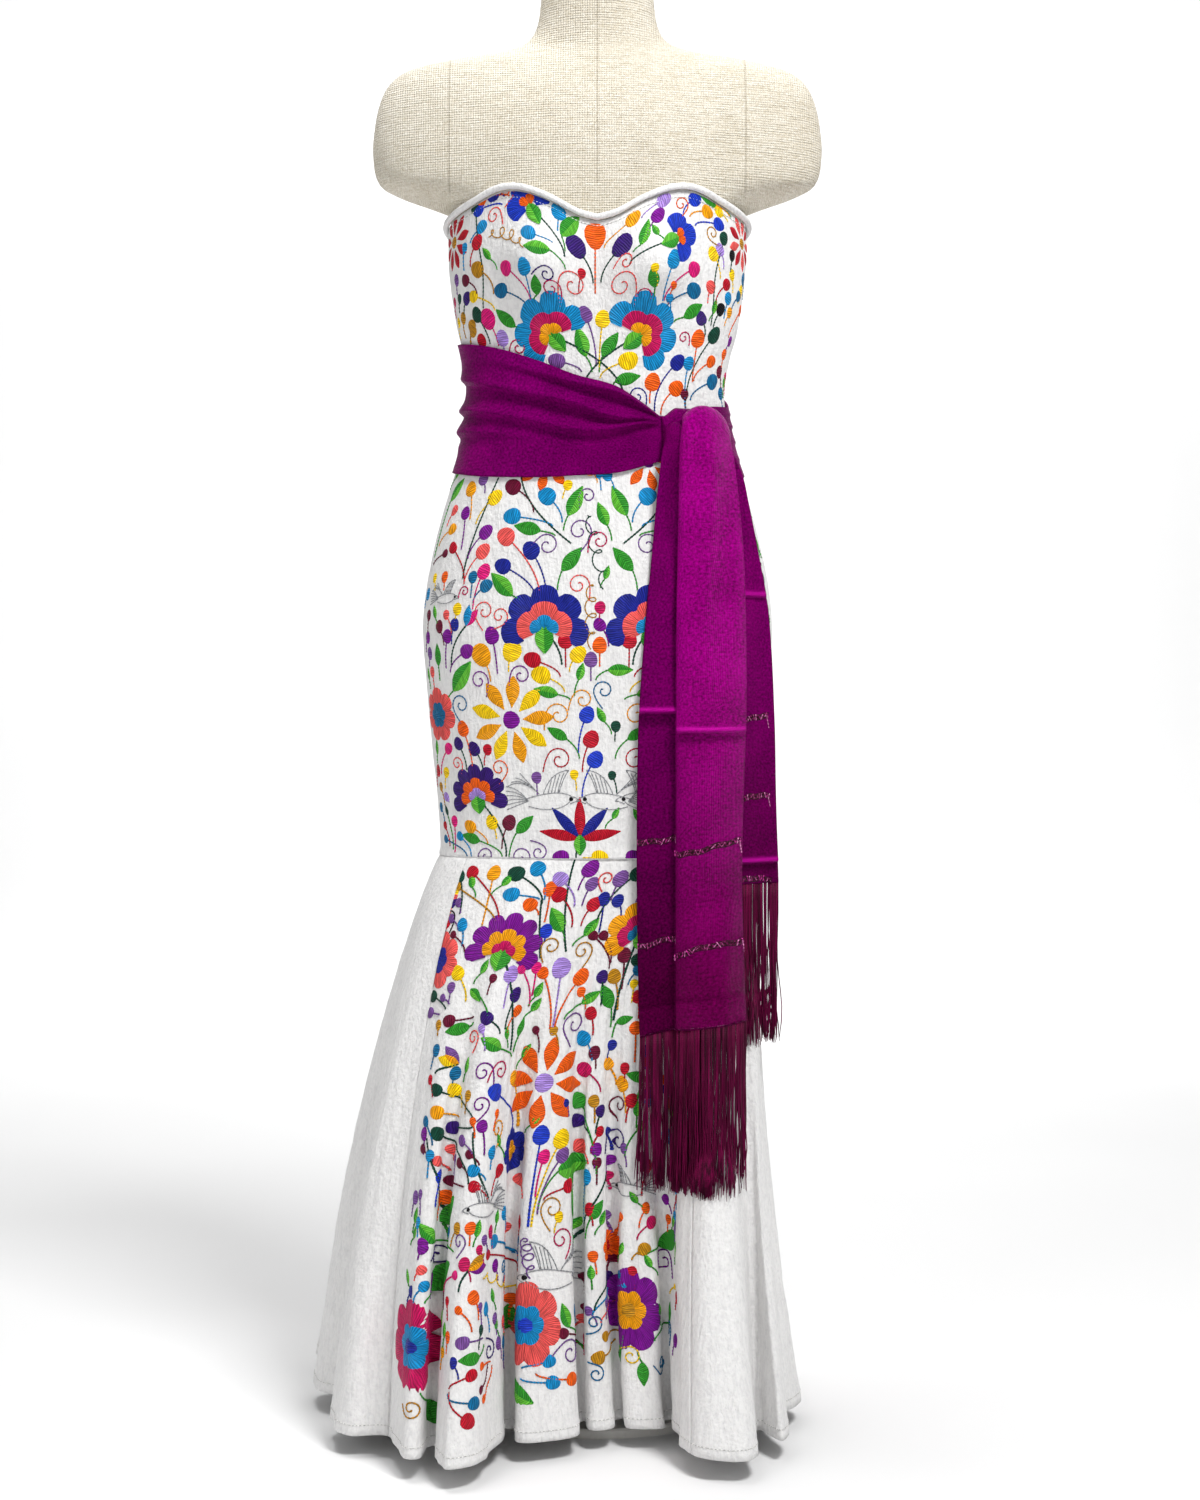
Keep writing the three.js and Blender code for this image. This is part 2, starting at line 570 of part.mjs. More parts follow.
// A sheet of cloth through hanging columns, given as lines of points seen from above.
function hangingWall(columns) {
  const last = columns.length - 1;
  const half = SASH_CLOTH / 2;
  const sheet = (out) => columns.map((column, i) => column.map((point, j) => {
    const [before, after] = [columns[Math.max(i - 1, 0)][j], columns[Math.min(i + 1, last)][j]];
    const [dx, dy] = [after[0] - before[0], after[1] - before[1]];
    const length = Math.hypot(dx, dy);
    return [point[0] + (out * dy) / length, point[1] - (out * dx) / length, point[2]];
  }).reverse());
  return wall(sheet(half), sheet(-half));
}

// Column `across` of the front end, from its top down to `drop` below its lower edge.
function frontColumn({ across, out }, heights) {
  const places = heights.map((z) => {
    const at = (edge) => along([...FRONT_END].reverse(), "z", edge, z);
    const x = across < 1
      ? mix(at("left"), at("pleat"), across)
      : mix(at("pleat"), at("right"), across - 1);
    return [x, z + SLANT.rise * (across / 2) * clamp01((SLANT.from - z) / SLANT.over)];
  });
  return hang(places, END_CLEARANCE.front).map(([x, y, z]) => [x, y - out, z]);
}

function backColumn(across, heights) {
  const places = heights.map((z) => {
    const at = (edge) => along([...BACK_END].reverse(), "z", edge, z);
    return [mix(at("left"), at("right"), across), z];
  });
  return hang(places, END_CLEARANCE.back);
}

const FRONT_LEVELS = [1012, 998, 985, 962, 940, 905, 866, 827, 750, 670, 580, 500, 450, 414];
const BACK_LEVELS = [972, 940, 905, 866, 827, 770, 700, 630, 562];
const acrossBack = range(BACK_END_COLUMNS + 1).map((i) => i / BACK_END_COLUMNS);
const frontColumns = (heights) => PLEAT.map((place) => frontColumn(place, heights));
const backColumns = (heights) => acrossBack.map((across) => backColumn(across, heights));
add("sash_end_front", hangingWall(frontColumns(FRONT_LEVELS)), SATIN());
add("sash_end_back", hangingWall(backColumns(BACK_LEVELS)), SATIN());

// ---------------------------------------------------------------- the fringes
const wasm = await Module();
wasm.setup();

function toManifold(geometry) {
  const bare = geometry.clone();
  bare.deleteAttribute("normal");
  bare.deleteAttribute("uv");
  const merged = mergeVertices(bare);
  const { array } = merged.getAttribute("position");
  const triVerts = new Uint32Array(merged.getIndex().array);
  const vertProperties = new Float32Array(array);
  return new wasm.Manifold(new wasm.Mesh({ numProp: 3, vertProperties, triVerts }));
}

function fromManifold(solid) {
  const { numProp, vertProperties, triVerts } = solid.getMesh();
  const positions = range(vertProperties.length / numProp).flatMap((i) =>
    Array.from(vertProperties.slice(i * numProp, i * numProp + 3)));
  const geometry = new THREE.BufferGeometry();
  geometry.setAttribute("position", new THREE.Float32BufferAttribute(positions, 3));
  geometry.setIndex(Array.from(triVerts));
  return geometry;
}

// One three-sided strand down a line of points, thinner at its free end.
function strand(points) {
  return stack([...points].reverse().map(([x, y, z], i) => range(3).map((k) => {
    const turn = radians(120 * k + 30);
    const radius = FRINGE.radius * (i === 0 ? 0.6 : 1);
    return [x + radius * Math.cos(turn), y + radius * Math.sin(turn), z];
  })));
}

// A strip parted from the cloth's edge, with its strands hanging from it.
function fringe(strip, strands) {
  const join = (solid, points) => solid.add(toManifold(strand(points)));
  return fromManifold(strands.reduce(join, toManifold(strip)));
}

// The line of points that lies a given share of the way across a sheet's columns.
function lineAcross(columns, share) {
  const place = share * (columns.length - 1);
  const index = Math.min(Math.floor(place), columns.length - 2);
  return columns[index].map((point, j) =>
    point.map((value, axis) => mix(value, columns[index + 1][j][axis], place - index)));
}

// A fringe under the lower edge of a hanging end; `columnsDown` gives its columns down some heights.
function fringeUnder(levels, length, count, columnsDown) {
  const edge = levels[levels.length - 1];
  const stripLevels = [edge - 2 * SEAM, edge - 2 * SEAM - FRINGE.strip];
  const strip = hangingWall(columnsDown([...levels, ...stripLevels]).map((column) => column.slice(-2)));
  const drops = [FRINGE.strip / 2, length / 2, length].map((drop) => edge - drop);
  const lines = columnsDown([...levels, ...drops]).map((column) => column.slice(-drops.length));
  const strands = range(count).map((i) => {
    const [root, middle, tip] = lineAcross(lines, (i + 0.5) / count);
    const share = 1 - FRINGE.uneven * (0.5 + 0.5 * Math.sin(i * FRINGE.step));
    return [root, middle, middle.map((value, axis) => mix(value, tip[axis], share))];
  });
  return fringe(strip, strands);
}

const frontFringe = fringeUnder(FRONT_LEVELS, FRINGE.frontLength, FRINGE.front, frontColumns);
const backFringe = fringeUnder(BACK_LEVELS, FRINGE.backLength, FRINGE.back, backColumns);
add("fringe_front", frontFringe, THREAD());
add("fringe_back", backFringe, THREAD());

export default group;
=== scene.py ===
# %% [markdown]
# # An embroidered mermaid dress on a dress form
# A strapless white cotton dress with coloured satin-stitch flowers, a purple fringed sash knotted at
# the waist, and the linen display form that wears it. The rigid frame already gives every piece its
# place and size. Here each plain piece is replaced by a finer surface with real cloth, thread and
# folds. Every new surface is a function of two parameters, worked out with numpy in millimetres and
# turned into metres when it becomes a mesh.

# %% Load the frame
import json
import math

import bpy
import numpy as np

import sys
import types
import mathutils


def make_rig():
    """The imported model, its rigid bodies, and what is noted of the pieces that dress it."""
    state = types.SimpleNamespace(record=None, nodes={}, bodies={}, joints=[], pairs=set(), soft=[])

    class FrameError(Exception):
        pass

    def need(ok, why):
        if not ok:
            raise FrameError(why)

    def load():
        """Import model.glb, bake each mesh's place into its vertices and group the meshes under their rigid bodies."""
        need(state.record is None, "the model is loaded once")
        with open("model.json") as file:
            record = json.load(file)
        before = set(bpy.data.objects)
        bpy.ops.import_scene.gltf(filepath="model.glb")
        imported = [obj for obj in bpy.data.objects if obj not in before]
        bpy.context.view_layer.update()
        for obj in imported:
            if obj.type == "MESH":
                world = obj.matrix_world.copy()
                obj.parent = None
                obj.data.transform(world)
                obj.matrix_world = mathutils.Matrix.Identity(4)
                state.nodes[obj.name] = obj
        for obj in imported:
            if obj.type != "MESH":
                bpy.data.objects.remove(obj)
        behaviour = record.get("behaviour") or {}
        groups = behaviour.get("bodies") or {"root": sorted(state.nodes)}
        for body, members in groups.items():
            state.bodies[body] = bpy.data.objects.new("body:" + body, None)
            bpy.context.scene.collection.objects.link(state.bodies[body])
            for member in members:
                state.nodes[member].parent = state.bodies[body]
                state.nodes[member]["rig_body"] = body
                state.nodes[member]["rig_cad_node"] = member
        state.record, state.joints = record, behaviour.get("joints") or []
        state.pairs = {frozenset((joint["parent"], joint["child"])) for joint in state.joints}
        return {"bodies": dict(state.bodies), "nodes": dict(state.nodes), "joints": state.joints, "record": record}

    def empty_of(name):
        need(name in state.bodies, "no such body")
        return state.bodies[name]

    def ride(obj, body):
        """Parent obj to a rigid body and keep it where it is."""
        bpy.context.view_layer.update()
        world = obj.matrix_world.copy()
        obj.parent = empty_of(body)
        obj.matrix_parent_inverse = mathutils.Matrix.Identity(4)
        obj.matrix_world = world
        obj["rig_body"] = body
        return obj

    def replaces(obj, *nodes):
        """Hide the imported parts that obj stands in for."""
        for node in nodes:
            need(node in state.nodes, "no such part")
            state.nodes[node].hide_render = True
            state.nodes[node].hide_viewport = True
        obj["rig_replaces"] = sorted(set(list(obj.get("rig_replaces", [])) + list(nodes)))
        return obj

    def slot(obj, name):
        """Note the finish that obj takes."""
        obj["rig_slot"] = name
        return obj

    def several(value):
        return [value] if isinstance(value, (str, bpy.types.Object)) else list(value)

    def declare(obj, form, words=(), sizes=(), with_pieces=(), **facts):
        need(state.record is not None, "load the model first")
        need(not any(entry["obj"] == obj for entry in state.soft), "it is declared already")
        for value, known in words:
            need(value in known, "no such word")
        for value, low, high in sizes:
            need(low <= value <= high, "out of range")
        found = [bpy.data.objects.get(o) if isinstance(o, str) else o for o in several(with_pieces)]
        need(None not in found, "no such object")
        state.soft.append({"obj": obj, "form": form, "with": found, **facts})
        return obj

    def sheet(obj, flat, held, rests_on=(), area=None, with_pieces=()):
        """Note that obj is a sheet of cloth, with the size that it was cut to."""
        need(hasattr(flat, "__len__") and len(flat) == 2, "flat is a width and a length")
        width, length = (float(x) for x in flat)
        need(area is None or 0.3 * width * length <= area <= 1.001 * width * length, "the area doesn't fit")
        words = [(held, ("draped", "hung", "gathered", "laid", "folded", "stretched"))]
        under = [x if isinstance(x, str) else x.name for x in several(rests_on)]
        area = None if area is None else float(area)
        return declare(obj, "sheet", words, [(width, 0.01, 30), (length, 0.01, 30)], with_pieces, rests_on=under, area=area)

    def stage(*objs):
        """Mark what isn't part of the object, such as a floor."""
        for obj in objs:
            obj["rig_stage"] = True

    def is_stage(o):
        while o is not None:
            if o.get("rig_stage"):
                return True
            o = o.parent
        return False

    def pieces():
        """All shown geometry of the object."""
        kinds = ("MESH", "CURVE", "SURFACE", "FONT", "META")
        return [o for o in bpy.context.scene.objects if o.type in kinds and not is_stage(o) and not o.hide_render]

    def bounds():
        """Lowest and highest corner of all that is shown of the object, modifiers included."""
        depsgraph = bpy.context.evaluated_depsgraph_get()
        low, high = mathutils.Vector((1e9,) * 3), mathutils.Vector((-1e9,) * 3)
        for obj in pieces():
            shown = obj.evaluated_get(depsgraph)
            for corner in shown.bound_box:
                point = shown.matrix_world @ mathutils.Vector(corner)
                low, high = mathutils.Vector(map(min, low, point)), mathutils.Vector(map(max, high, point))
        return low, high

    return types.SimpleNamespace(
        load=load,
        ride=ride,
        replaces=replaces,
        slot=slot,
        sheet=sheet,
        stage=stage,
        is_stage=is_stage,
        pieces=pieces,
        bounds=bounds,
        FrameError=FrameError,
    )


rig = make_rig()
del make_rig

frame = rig.load()
cad_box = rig.bounds()
MM = 0.001
print("frame box (m):", cad_box)

# %% [markdown]
# ## The camera
# A portrait picture of a full-length dress is taken from a few metres away with a short telephoto
# lens. The camera stands at hip height, looks down by a few degrees, and the frame is shifted up so
# that the whole form fits in.

# %% Camera
CAMERA_PLACE = (0.0026, -2.6, 0.7397)
CAMERA_DOWN = math.radians(4.76)
CAMERA_LENS = 60.65
CAMERA_SHIFT_UP = 0.111

camera_data = bpy.data.cameras.new("camera")
camera_data.lens = CAMERA_LENS
camera_data.sensor_width = 36
camera_data.shift_y = CAMERA_SHIFT_UP
camera = bpy.data.objects.new("camera", camera_data)
print("camera at (m):", CAMERA_PLACE, "lens:", CAMERA_LENS)
camera.location = CAMERA_PLACE
camera.rotation_euler = (math.pi / 2 - CAMERA_DOWN, 0, 0)
bpy.context.scene.collection.objects.link(camera)
bpy.context.scene.camera = camera

# %% [markdown]
# ## Tables and curves
# The fitted dress is a stack of level ovals, each a row of a table. A smooth curve through the rows
# gives every height in between. The same few helpers serve all the pieces.

# %% Helpers for tables and curves
def table(columns, rows):
    """Named columns of numbers from rows of a table."""
    values = np.array(rows, dtype=float)
    return {name: values[:, i] for i, name in enumerate(columns.split())}


def mix(a, b, t):
    """From a at t = 0 to b at t = 1: a + (b - a) t."""
    return a + (b - a) * t


def bell(distance, spread):
    """A smooth bump: 1 in the middle, falling off as exp(-(distance / spread) squared)."""
    return np.exp(-((distance / spread) ** 2))


def smooth_step(low, high, x):
    """0 below low, 1 above high, and 3t^2 - 2t^3 between them."""
    t = np.clip((x - low) / (high - low), 0, 1)
    return t * t * (3 - 2 * t)


def along(rows, key, value, x):
    """Smooth curve through a table: cubic Hermite pieces whose slope at a row is that of the line
    from the row before it to the row after it."""
    keys, values = rows[key], rows[value]
    last = len(keys) - 1
    before, after = np.maximum(np.arange(last + 1) - 1, 0), np.minimum(np.arange(last + 1) + 1, last)
    slopes = (values[after] - values[before]) / (keys[after] - keys[before])
    i = np.clip(np.searchsorted(keys, x, side="right") - 1, 0, last - 1)
    span = keys[i + 1] - keys[i]
    t = np.clip((x - keys[i]) / span, 0, 1)
    bend = t * (1 - t) * span
    curve = mix(values[i], values[i + 1], t * t * (3 - 2 * t))
    return curve + bend * ((1 - t) * slopes[i] - t * slopes[i + 1])


def waves(a, b, seed, count=9, longest=1.0, shortest=0.25):
    """Gentle irregular waves over (a, b), from -1 to 1 or so: a sum of sines of seeded directions."""
    rng = np.random.default_rng(seed)
    total = 0
    sizes, turns = np.geomspace(longest, shortest, count), rng.uniform(0, math.tau, count)
    for size, turn, phase in zip(sizes, turns, rng.uniform(0, math.tau, count)):
        total = total + size * np.sin((a * math.cos(turn) + b * math.sin(turn)) * math.tau / size + phase)
    return total / sizes.sum() * 1.6


# %% [markdown]
# ## From a grid of points to a mesh
# A surface is an array of points with rows and columns. Faces join each point to its neighbours, so
# the whole mesh is made with a few array operations. Cloth is two such sheets, an outer and an inner
# one, joined round the edge.

# %% Mesh helpers
def grid_faces(rows, columns, wrap=False, first=0):
    """Quads over a grid of points that is numbered row by row, from index first."""
    index = first + np.arange(rows * columns).reshape(rows, columns)
    if wrap:
        index = np.concatenate([index, index[:, :1]], axis=1)
    corners = [index[:-1, :-1], index[:-1, 1:], index[1:, 1:], index[1:, :-1]]
    return np.stack(corners, axis=-1).reshape(-1, 4)


def new_mesh(name, points, faces, uvs=None, colours=None, smooth=True):
    """A mesh object from points in millimetres; uvs and colours are given for each point."""
    mesh = bpy.data.meshes.new(name)
    points = np.asarray(points, dtype=float).reshape(-1, 3) * MM
    mesh.from_pydata(points.tolist(), [], faces if isinstance(faces, list) else faces.tolist())
    if uvs is not None or colours is not None:
        corners = np.zeros(len(mesh.loops), dtype=np.int32)
        mesh.loops.foreach_get("vertex_index", corners)
    if uvs is not None:
        layer = mesh.uv_layers.new(name="UVMap")
        layer.data.foreach_set("uv", np.asarray(uvs, dtype=np.float32).reshape(-1, 2)[corners].ravel())
    if colours is not None:
        attribute = mesh.color_attributes.new("thread", "FLOAT_COLOR", "POINT")
        rgba = np.concatenate([np.asarray(colours).reshape(-1, 3), np.ones((len(points), 1))], axis=1)
        attribute.data.foreach_set("color", rgba.astype(np.float32).ravel())
    mesh.polygons.foreach_set("use_smooth", np.full(len(mesh.polygons), smooth))
    mesh.update()
    piece = bpy.data.objects.new(name, mesh)
    bpy.context.scene.collection.objects.link(piece)
    return piece


def sheet_normals(points):
    """Outward unit normals of a grid whose rows go up and whose columns go to the right."""
    across = np.gradient(points, axis=1)
    up = np.gradient(points, axis=0)
    normals = np.cross(across, up)
    return normals / np.maximum(np.linalg.norm(normals, axis=-1, keepdims=True), 1e-9)


def cloth_wall(name, outer, thickness, uvs=None):
    """Cloth with a real thickness: the outer sheet, a copy of it moved in along the normals, and a
    rim that joins their edges."""
    rows, columns = outer.shape[:2]
    inner = outer - sheet_normals(outer) * thickness
    count = rows * columns
    index = np.arange(count).reshape(rows, columns)
    rim = np.concatenate([index[0, :], index[1:, -1], index[-1, -2::-1], index[-2:0:-1, 0]])
    following = np.roll(rim, -1)
    faces = np.concatenate([
        grid_faces(rows, columns),
        grid_faces(rows, columns, first=count)[:, ::-1],
        np.stack([rim, rim + count, following + count, following], axis=-1),
    ])
    both = None if uvs is None else np.concatenate([uvs.reshape(-1, 2), uvs.reshape(-1, 2)])
    return new_mesh(name, np.concatenate([outer.reshape(-1, 3), inner.reshape(-1, 3)]), faces, both)


# %% [markdown]
# ## The shape of the fitted dress
# A dress form is an oval in plan that changes with height. The outside of the dress is the distance
# from the middle axis for each angle and height: a squarish oval, plus the cups over the bust, plus
# the shoulder caps of the form above the neckline.

# %% Fitted shape
CLOTH = 1.4
FORM_CLEARANCE = 0.8
SEAM = 0.3
KNEE_SEAM = 590
HEM = 22
NECKLINE = 1208
NECKLINE_START = 1125
SHOULDER_START = 1262

SECTIONS = table("z side front back square cap", [
    (560, 161, 99, 107, 2.1, 0),
    (590, 161, 99, 107, 2.1, 0),
    (643, 164, 101, 111, 2.1, 0),
    (705, 170, 104, 116, 2.1, 0),
    (766, 175, 107, 120, 2.15, 0),
    (827, 178, 109, 121, 2.15, 0),
    (888, 169, 105, 116, 2.15, 0),
    (949, 153, 98, 106, 2.15, 0),
    (1000, 137, 91, 93, 2.15, 0),
    (1050, 129, 87, 84, 2.15, 0),
    (1085, 133, 89, 85, 2.15, 0),
    (1120, 142, 94, 89, 2.15, 0),
    (1180, 150, 103, 94, 2.15, 0),
    (1224, 150, 103, 95, 2.15, 0),
    (1233, 150, 103, 95, 2.15, 0),
    (1241, 151, 103, 96, 2.15, 20),
    (1251, 151, 102, 97, 2.15, 50),
    (1262, 151, 101, 98, 2.15, 70),
    (1290, 150, 97, 98, 2.15, 78),
    (1320, 148, 90, 96, 2.05, 78),
    (1345, 144, 81, 90, 1.9, 76),
    (1362, 136, 73, 83, 1.75, 74),
    (1374, 124, 67, 76, 1.6, 68),
    (1383, 108, 62, 71, 1.5, 48),
    (1390, 90, 59, 68, 1.55, 20),
    (1398, 76, 57, 65, 1.7, 4),
    (1412, 65, 55, 62, 1.9, 0),
    (1440, 59, 54, 60, 2, 0),
    (1478, 57, 53, 58, 2, 0),
])
CAP_SPREAD = 20
BUST_ANGLE, BUST_SPREAD, BUST_HEIGHT = 27, 16, 1166
BUST_ABOVE, BUST_BELOW, BUST_FULLNESS = 44, 32, 25
NECKLINE_HEIGHTS = table("angle z", [
    (0, 1208), (10, 1213), (24, 1228), (38, 1239), (48, 1240), (62, 1230), (76, 1221), (90, 1215),
    (125, 1203), (180, 1197),
])


def from_front(angle):
    """How many degrees an angle is from the centre front, 0 to 180."""
    return np.abs((angle % 360 + 540) % 360 - 180)


def body_radius(angle, z):
    """Oval: (|sin| / side)^n + (|cos| / depth)^n, to the power -1/n, plus caps and cups as bells."""
    turned = from_front(angle)
    s, c = np.sin(np.radians(turned)), np.cos(np.radians(turned))
    at = {name: along(SECTIONS, "z", name, z) for name in SECTIONS}
    depth = np.where(c > 0, at["front"], at["back"])
    n = at["square"]
    oval = ((s / at["side"]) ** n + (np.abs(c) / depth) ** n) ** (-1 / n)
    cap = at["cap"] * bell(turned - 90, CAP_SPREAD)
    rise = z - BUST_HEIGHT
    height = bell(rise, np.where(rise > 0, BUST_ABOVE, BUST_BELOW))
    return oval + cap + BUST_FULLNESS * bell(turned - BUST_ANGLE, BUST_SPREAD) * height


def body_point(angle, z, out=0.0):
    """The point at a distance out from the dress, as (x, y, z)."""
    angle, z, out = np.broadcast_arrays(angle, z, out)
    radius = body_radius(angle, z) + out
    turn = np.radians(angle)
    return np.stack([radius * np.sin(turn), -radius * np.cos(turn), z], axis=-1)


def neckline_height(angle):
    """Level of the upper edge at an angle from the front, the same on both sides."""
    return along(NECKLINE_HEIGHTS, "angle", "z", from_front(angle))


def bent_level(angle, level):
    """A nominal level, bent so that level NECKLINE runs along the neckline."""
    bend = neckline_height(angle) - NECKLINE
    rising = (level - NECKLINE_START) / (NECKLINE - NECKLINE_START)
    falling = (SHOULDER_START - level) / (SHOULDER_START - NECKLINE)
    return level + bend * np.clip(np.minimum(rising, falling), 0, 1)


print("hip girth (mm):", round(float(np.linalg.norm(
    np.diff(body_point(np.linspace(0, 360, 361), 827.0), axis=0), axis=1).sum())))

# %% [markdown]
# ## The shape of the flounce
# The flounce is cut much wider than the knee seam it is sewn to, so it falls in rounded folds. A
# table gives each fold at the hem, and a smooth closed curve runs through all of them. Going up,
# the folds fade out, the ring narrows to the seam, and the sideways sway of the hem dies away.

# %% Flounce shape
HEM_FOLDS = [
    # valley at, x, y; ridge at, x, y; width of the ridge
    (-65, -206, -158, -57, -182, -228, 20),
    (-48, -158, -196, -37, -127, -252, 46),
    (-25, -88, -138, -13, -50, -172, 50),
    (-3, -14, -112, 5, 5, -134, 20),
    (14, 24, -102, 25, 48, -130, 32),
    (44, 74, -106, 64, 118, -228, 60),
    (76, 160, -140, 83, 184, -164, 24),
    (92, 184, -86, 102, 206, -22, 46),
    (113, 172, 44, 122, 200, 108, 34),
    (132, 148, 142, 142, 158, 222, 34),
    (151, 100, 180, 160, 80, 264, 34),
    (170, 22, 198, 180, -14, 276, 36),
    (190, -70, 204, 200, -112, 286, 38),
    (211, -164, 208, 222, -222, 264, 40),
    (236, -242, 174, 246, -304, 180, 44),
    (256, -262, 104, 265, -298, 40, 50),
    (275, -256, -24, 285, -258, -126, 64),
]
RIDGE_SPREAD = 3
SWAY = -42
SWAY_POWER, FLARE_POWER, FOLD_POWER = 2.6, 0.75, 1.35


def fold_thirds():
    """Each fold as three places on the hem: its valley and the two shoulders of its ridge."""
    rows = np.array(HEM_FOLDS, dtype=float)
    valley_at, valley, ridge_at, ridge, wide = rows[:, 0], rows[:, 1:3], rows[:, 3], rows[:, 4:6], rows[:, 6:]
    line = np.roll(valley, -1, axis=0) - valley
    half = line / np.linalg.norm(line, axis=1, keepdims=True) * wide / 2
    at = np.stack([valley_at, ridge_at - RIDGE_SPREAD, ridge_at + RIDGE_SPREAD], axis=1)
    places = np.stack([valley, ridge - half, ridge + half], axis=1)
    return at.reshape(-1), places.reshape(-1, 2)


THIRDS_AT, THIRDS = fold_thirds()


def hem_angle(u):
    """The angle on the knee seam, in straight steps between the thirds of the folds."""
    count = len(THIRDS_AT)
    start = np.floor(u).astype(int)
    at = lambda i: THIRDS_AT[i % count] + 360 * np.floor_divide(i, count)
    return mix(at(start), at(start + 1), u - start)


def hem_place(u):
    """Closed smooth curve (Catmull-Rom) through the thirds of the folds, as (x, y)."""
    count = len(THIRDS)
    start = np.floor(u).astype(int)
    t = (u - start)[..., None]
    a, b, c, d = (THIRDS[(start + offset) % count] for offset in (-1, 0, 1, 2))
    return b + 0.5 * t * (c - a + t * (2 * a - 5 * b + 4 * c - d + t * (3 * (b - c) + d - a)))


def hem_mean(u):
    """The hem with its folds ironed out: the mean over one whole fold."""
    weights = np.array([0.5] + [1] * 11 + [0.5]) / 12
    steps = -1.5 + np.arange(13) / 4
    return sum(weight * hem_place(u + step) for weight, step in zip(weights, steps))


def flounce_point(u, v):
    """Mix of the knee seam and the ironed hem by v^0.75, plus the folds by v^1.35, plus the sway."""
    u, v = np.broadcast_arrays(np.asarray(u, dtype=float), np.asarray(v, dtype=float))
    seam = body_point(hem_angle(u), float(KNEE_SEAM))[..., :2]
    mean = hem_mean(u)
    sway = np.array([SWAY, 0.0])
    wide, deep, swing = (part[..., None] for part in (
        v ** FLARE_POWER, v ** FOLD_POWER, 1 - (1 - v) ** SWAY_POWER))
    plan = mix(seam, mean - sway, wide) + sway * swing + (hem_place(u) - mean) * deep
    return np.concatenate([plan, mix(KNEE_SEAM - SEAM, HEM, v)[..., None]], axis=-1)


hem_length = np.linalg.norm(np.diff(hem_place(np.linspace(0, len(THIRDS), 2000)), axis=0), axis=1).sum()
print("hem length (mm):", round(float(hem_length)))

# %% [markdown]
# ## Cloth panels as even grids
# The dress is cut in panels. Each becomes a grid of points: rows are heights, columns are equal
# steps along the cloth, so a square of the grid is a square of cloth even where it folds. The same
# grid later carries the embroidery, which therefore lies exactly on the folds.

# %% Even grids
LAP = 1.8


def even_rows(points, columns):
    """Resample every row so that its points are the same distance apart along the cloth."""
    steps = np.linalg.norm(np.diff(points, axis=1), axis=2)
    run = np.concatenate([np.zeros((len(points), 1)), np.cumsum(steps, axis=1)], axis=1)
    rows = []
    for length, row in zip(run, points):
        even = np.linspace(SEAM / 2, length[-1] - SEAM / 2, columns)
        rows.append(np.stack([np.interp(even, length, row[:, axis]) for axis in range(3)], axis=1))
    return np.array(rows), run[:, -1]


def make_panel(points, widths, heights):
    """A grid with what is needed to find a place on it: widths and heights in mm for each row."""
    columns = points.shape[1]
    across = np.linspace(-0.5, 0.5, columns)[None, :] * widths[:, None]
    up = np.broadcast_to(heights[:, None], across.shape)
    return {"points": points, "normals": sheet_normals(points), "widths": widths,
            "heights": heights, "flat": np.stack([across, up], axis=-1)}


def lifted(panel, lift):
    """The same panel with every point moved along its normal."""
    points = panel["points"] + panel["normals"] * lift[..., None]
    return {**panel, "points": points, "normals": sheet_normals(points)}


def fitted_panel(start, stop, rows, columns):
    """A panel of the fitted dress between two angles, with even columns."""
    levels = np.concatenate([[KNEE_SEAM - LAP], np.linspace(KNEE_SEAM + 1, NECKLINE, rows - 1)])
    angle, level = np.meshgrid(np.linspace(start, stop, columns * 5), levels)
    points, widths = even_rows(body_point(angle, bent_level(angle, level)), columns)
    return make_panel(points, widths, level[:, 0])


def flounce_panel(start, stop, rows, columns):
    """A panel of the flounce between two of its folds, with even columns."""
    u, v = np.meshgrid(np.linspace(start, stop, columns * 5), np.linspace(1, 0, rows))
    points, widths = even_rows(flounce_point(u, v), columns)
    return {**make_panel(points, widths, mix(KNEE_SEAM - SEAM, HEM, v[:, 0])), "edges": (start, stop)}


# %% [markdown]
# ## Crinkled cotton
# The cotton is a crinkled gauze. It gathers a little round the embroidery, hangs in long soft
# furrows below the knee, and its hem is turned up and stitched. Long furrows and puckers are moved
# into the mesh; the finest crinkle is left to the material.

# %% Panels of the dress
HEM_BAND = 13
VALLEY_DEPTH, VALLEY_WIDTH = 8.0, 6.0


def fitted_relief(panel, seed):
    """Shallow puckers, a few soft drag lines, and a lower edge that laps over the flounce."""
    x, z = panel["flat"][..., 0], panel["flat"][..., 1]
    puckers = 0.34 * waves(x, z, seed, 12, 46, 9)
    drag = 0.3 * np.sin((z + 0.35 * np.abs(x)) / 5.2 + 2 * waves(x, z, seed + 1, 5, 160, 60))
    drag = drag * bell(z - 1010, 60)
    lap = (CLOTH + 0.35) * smooth_step(KNEE_SEAM + 8, KNEE_SEAM + 1, z)
    return puckers * smooth_step(KNEE_SEAM, KNEE_SEAM + 12, z) + drag + lap


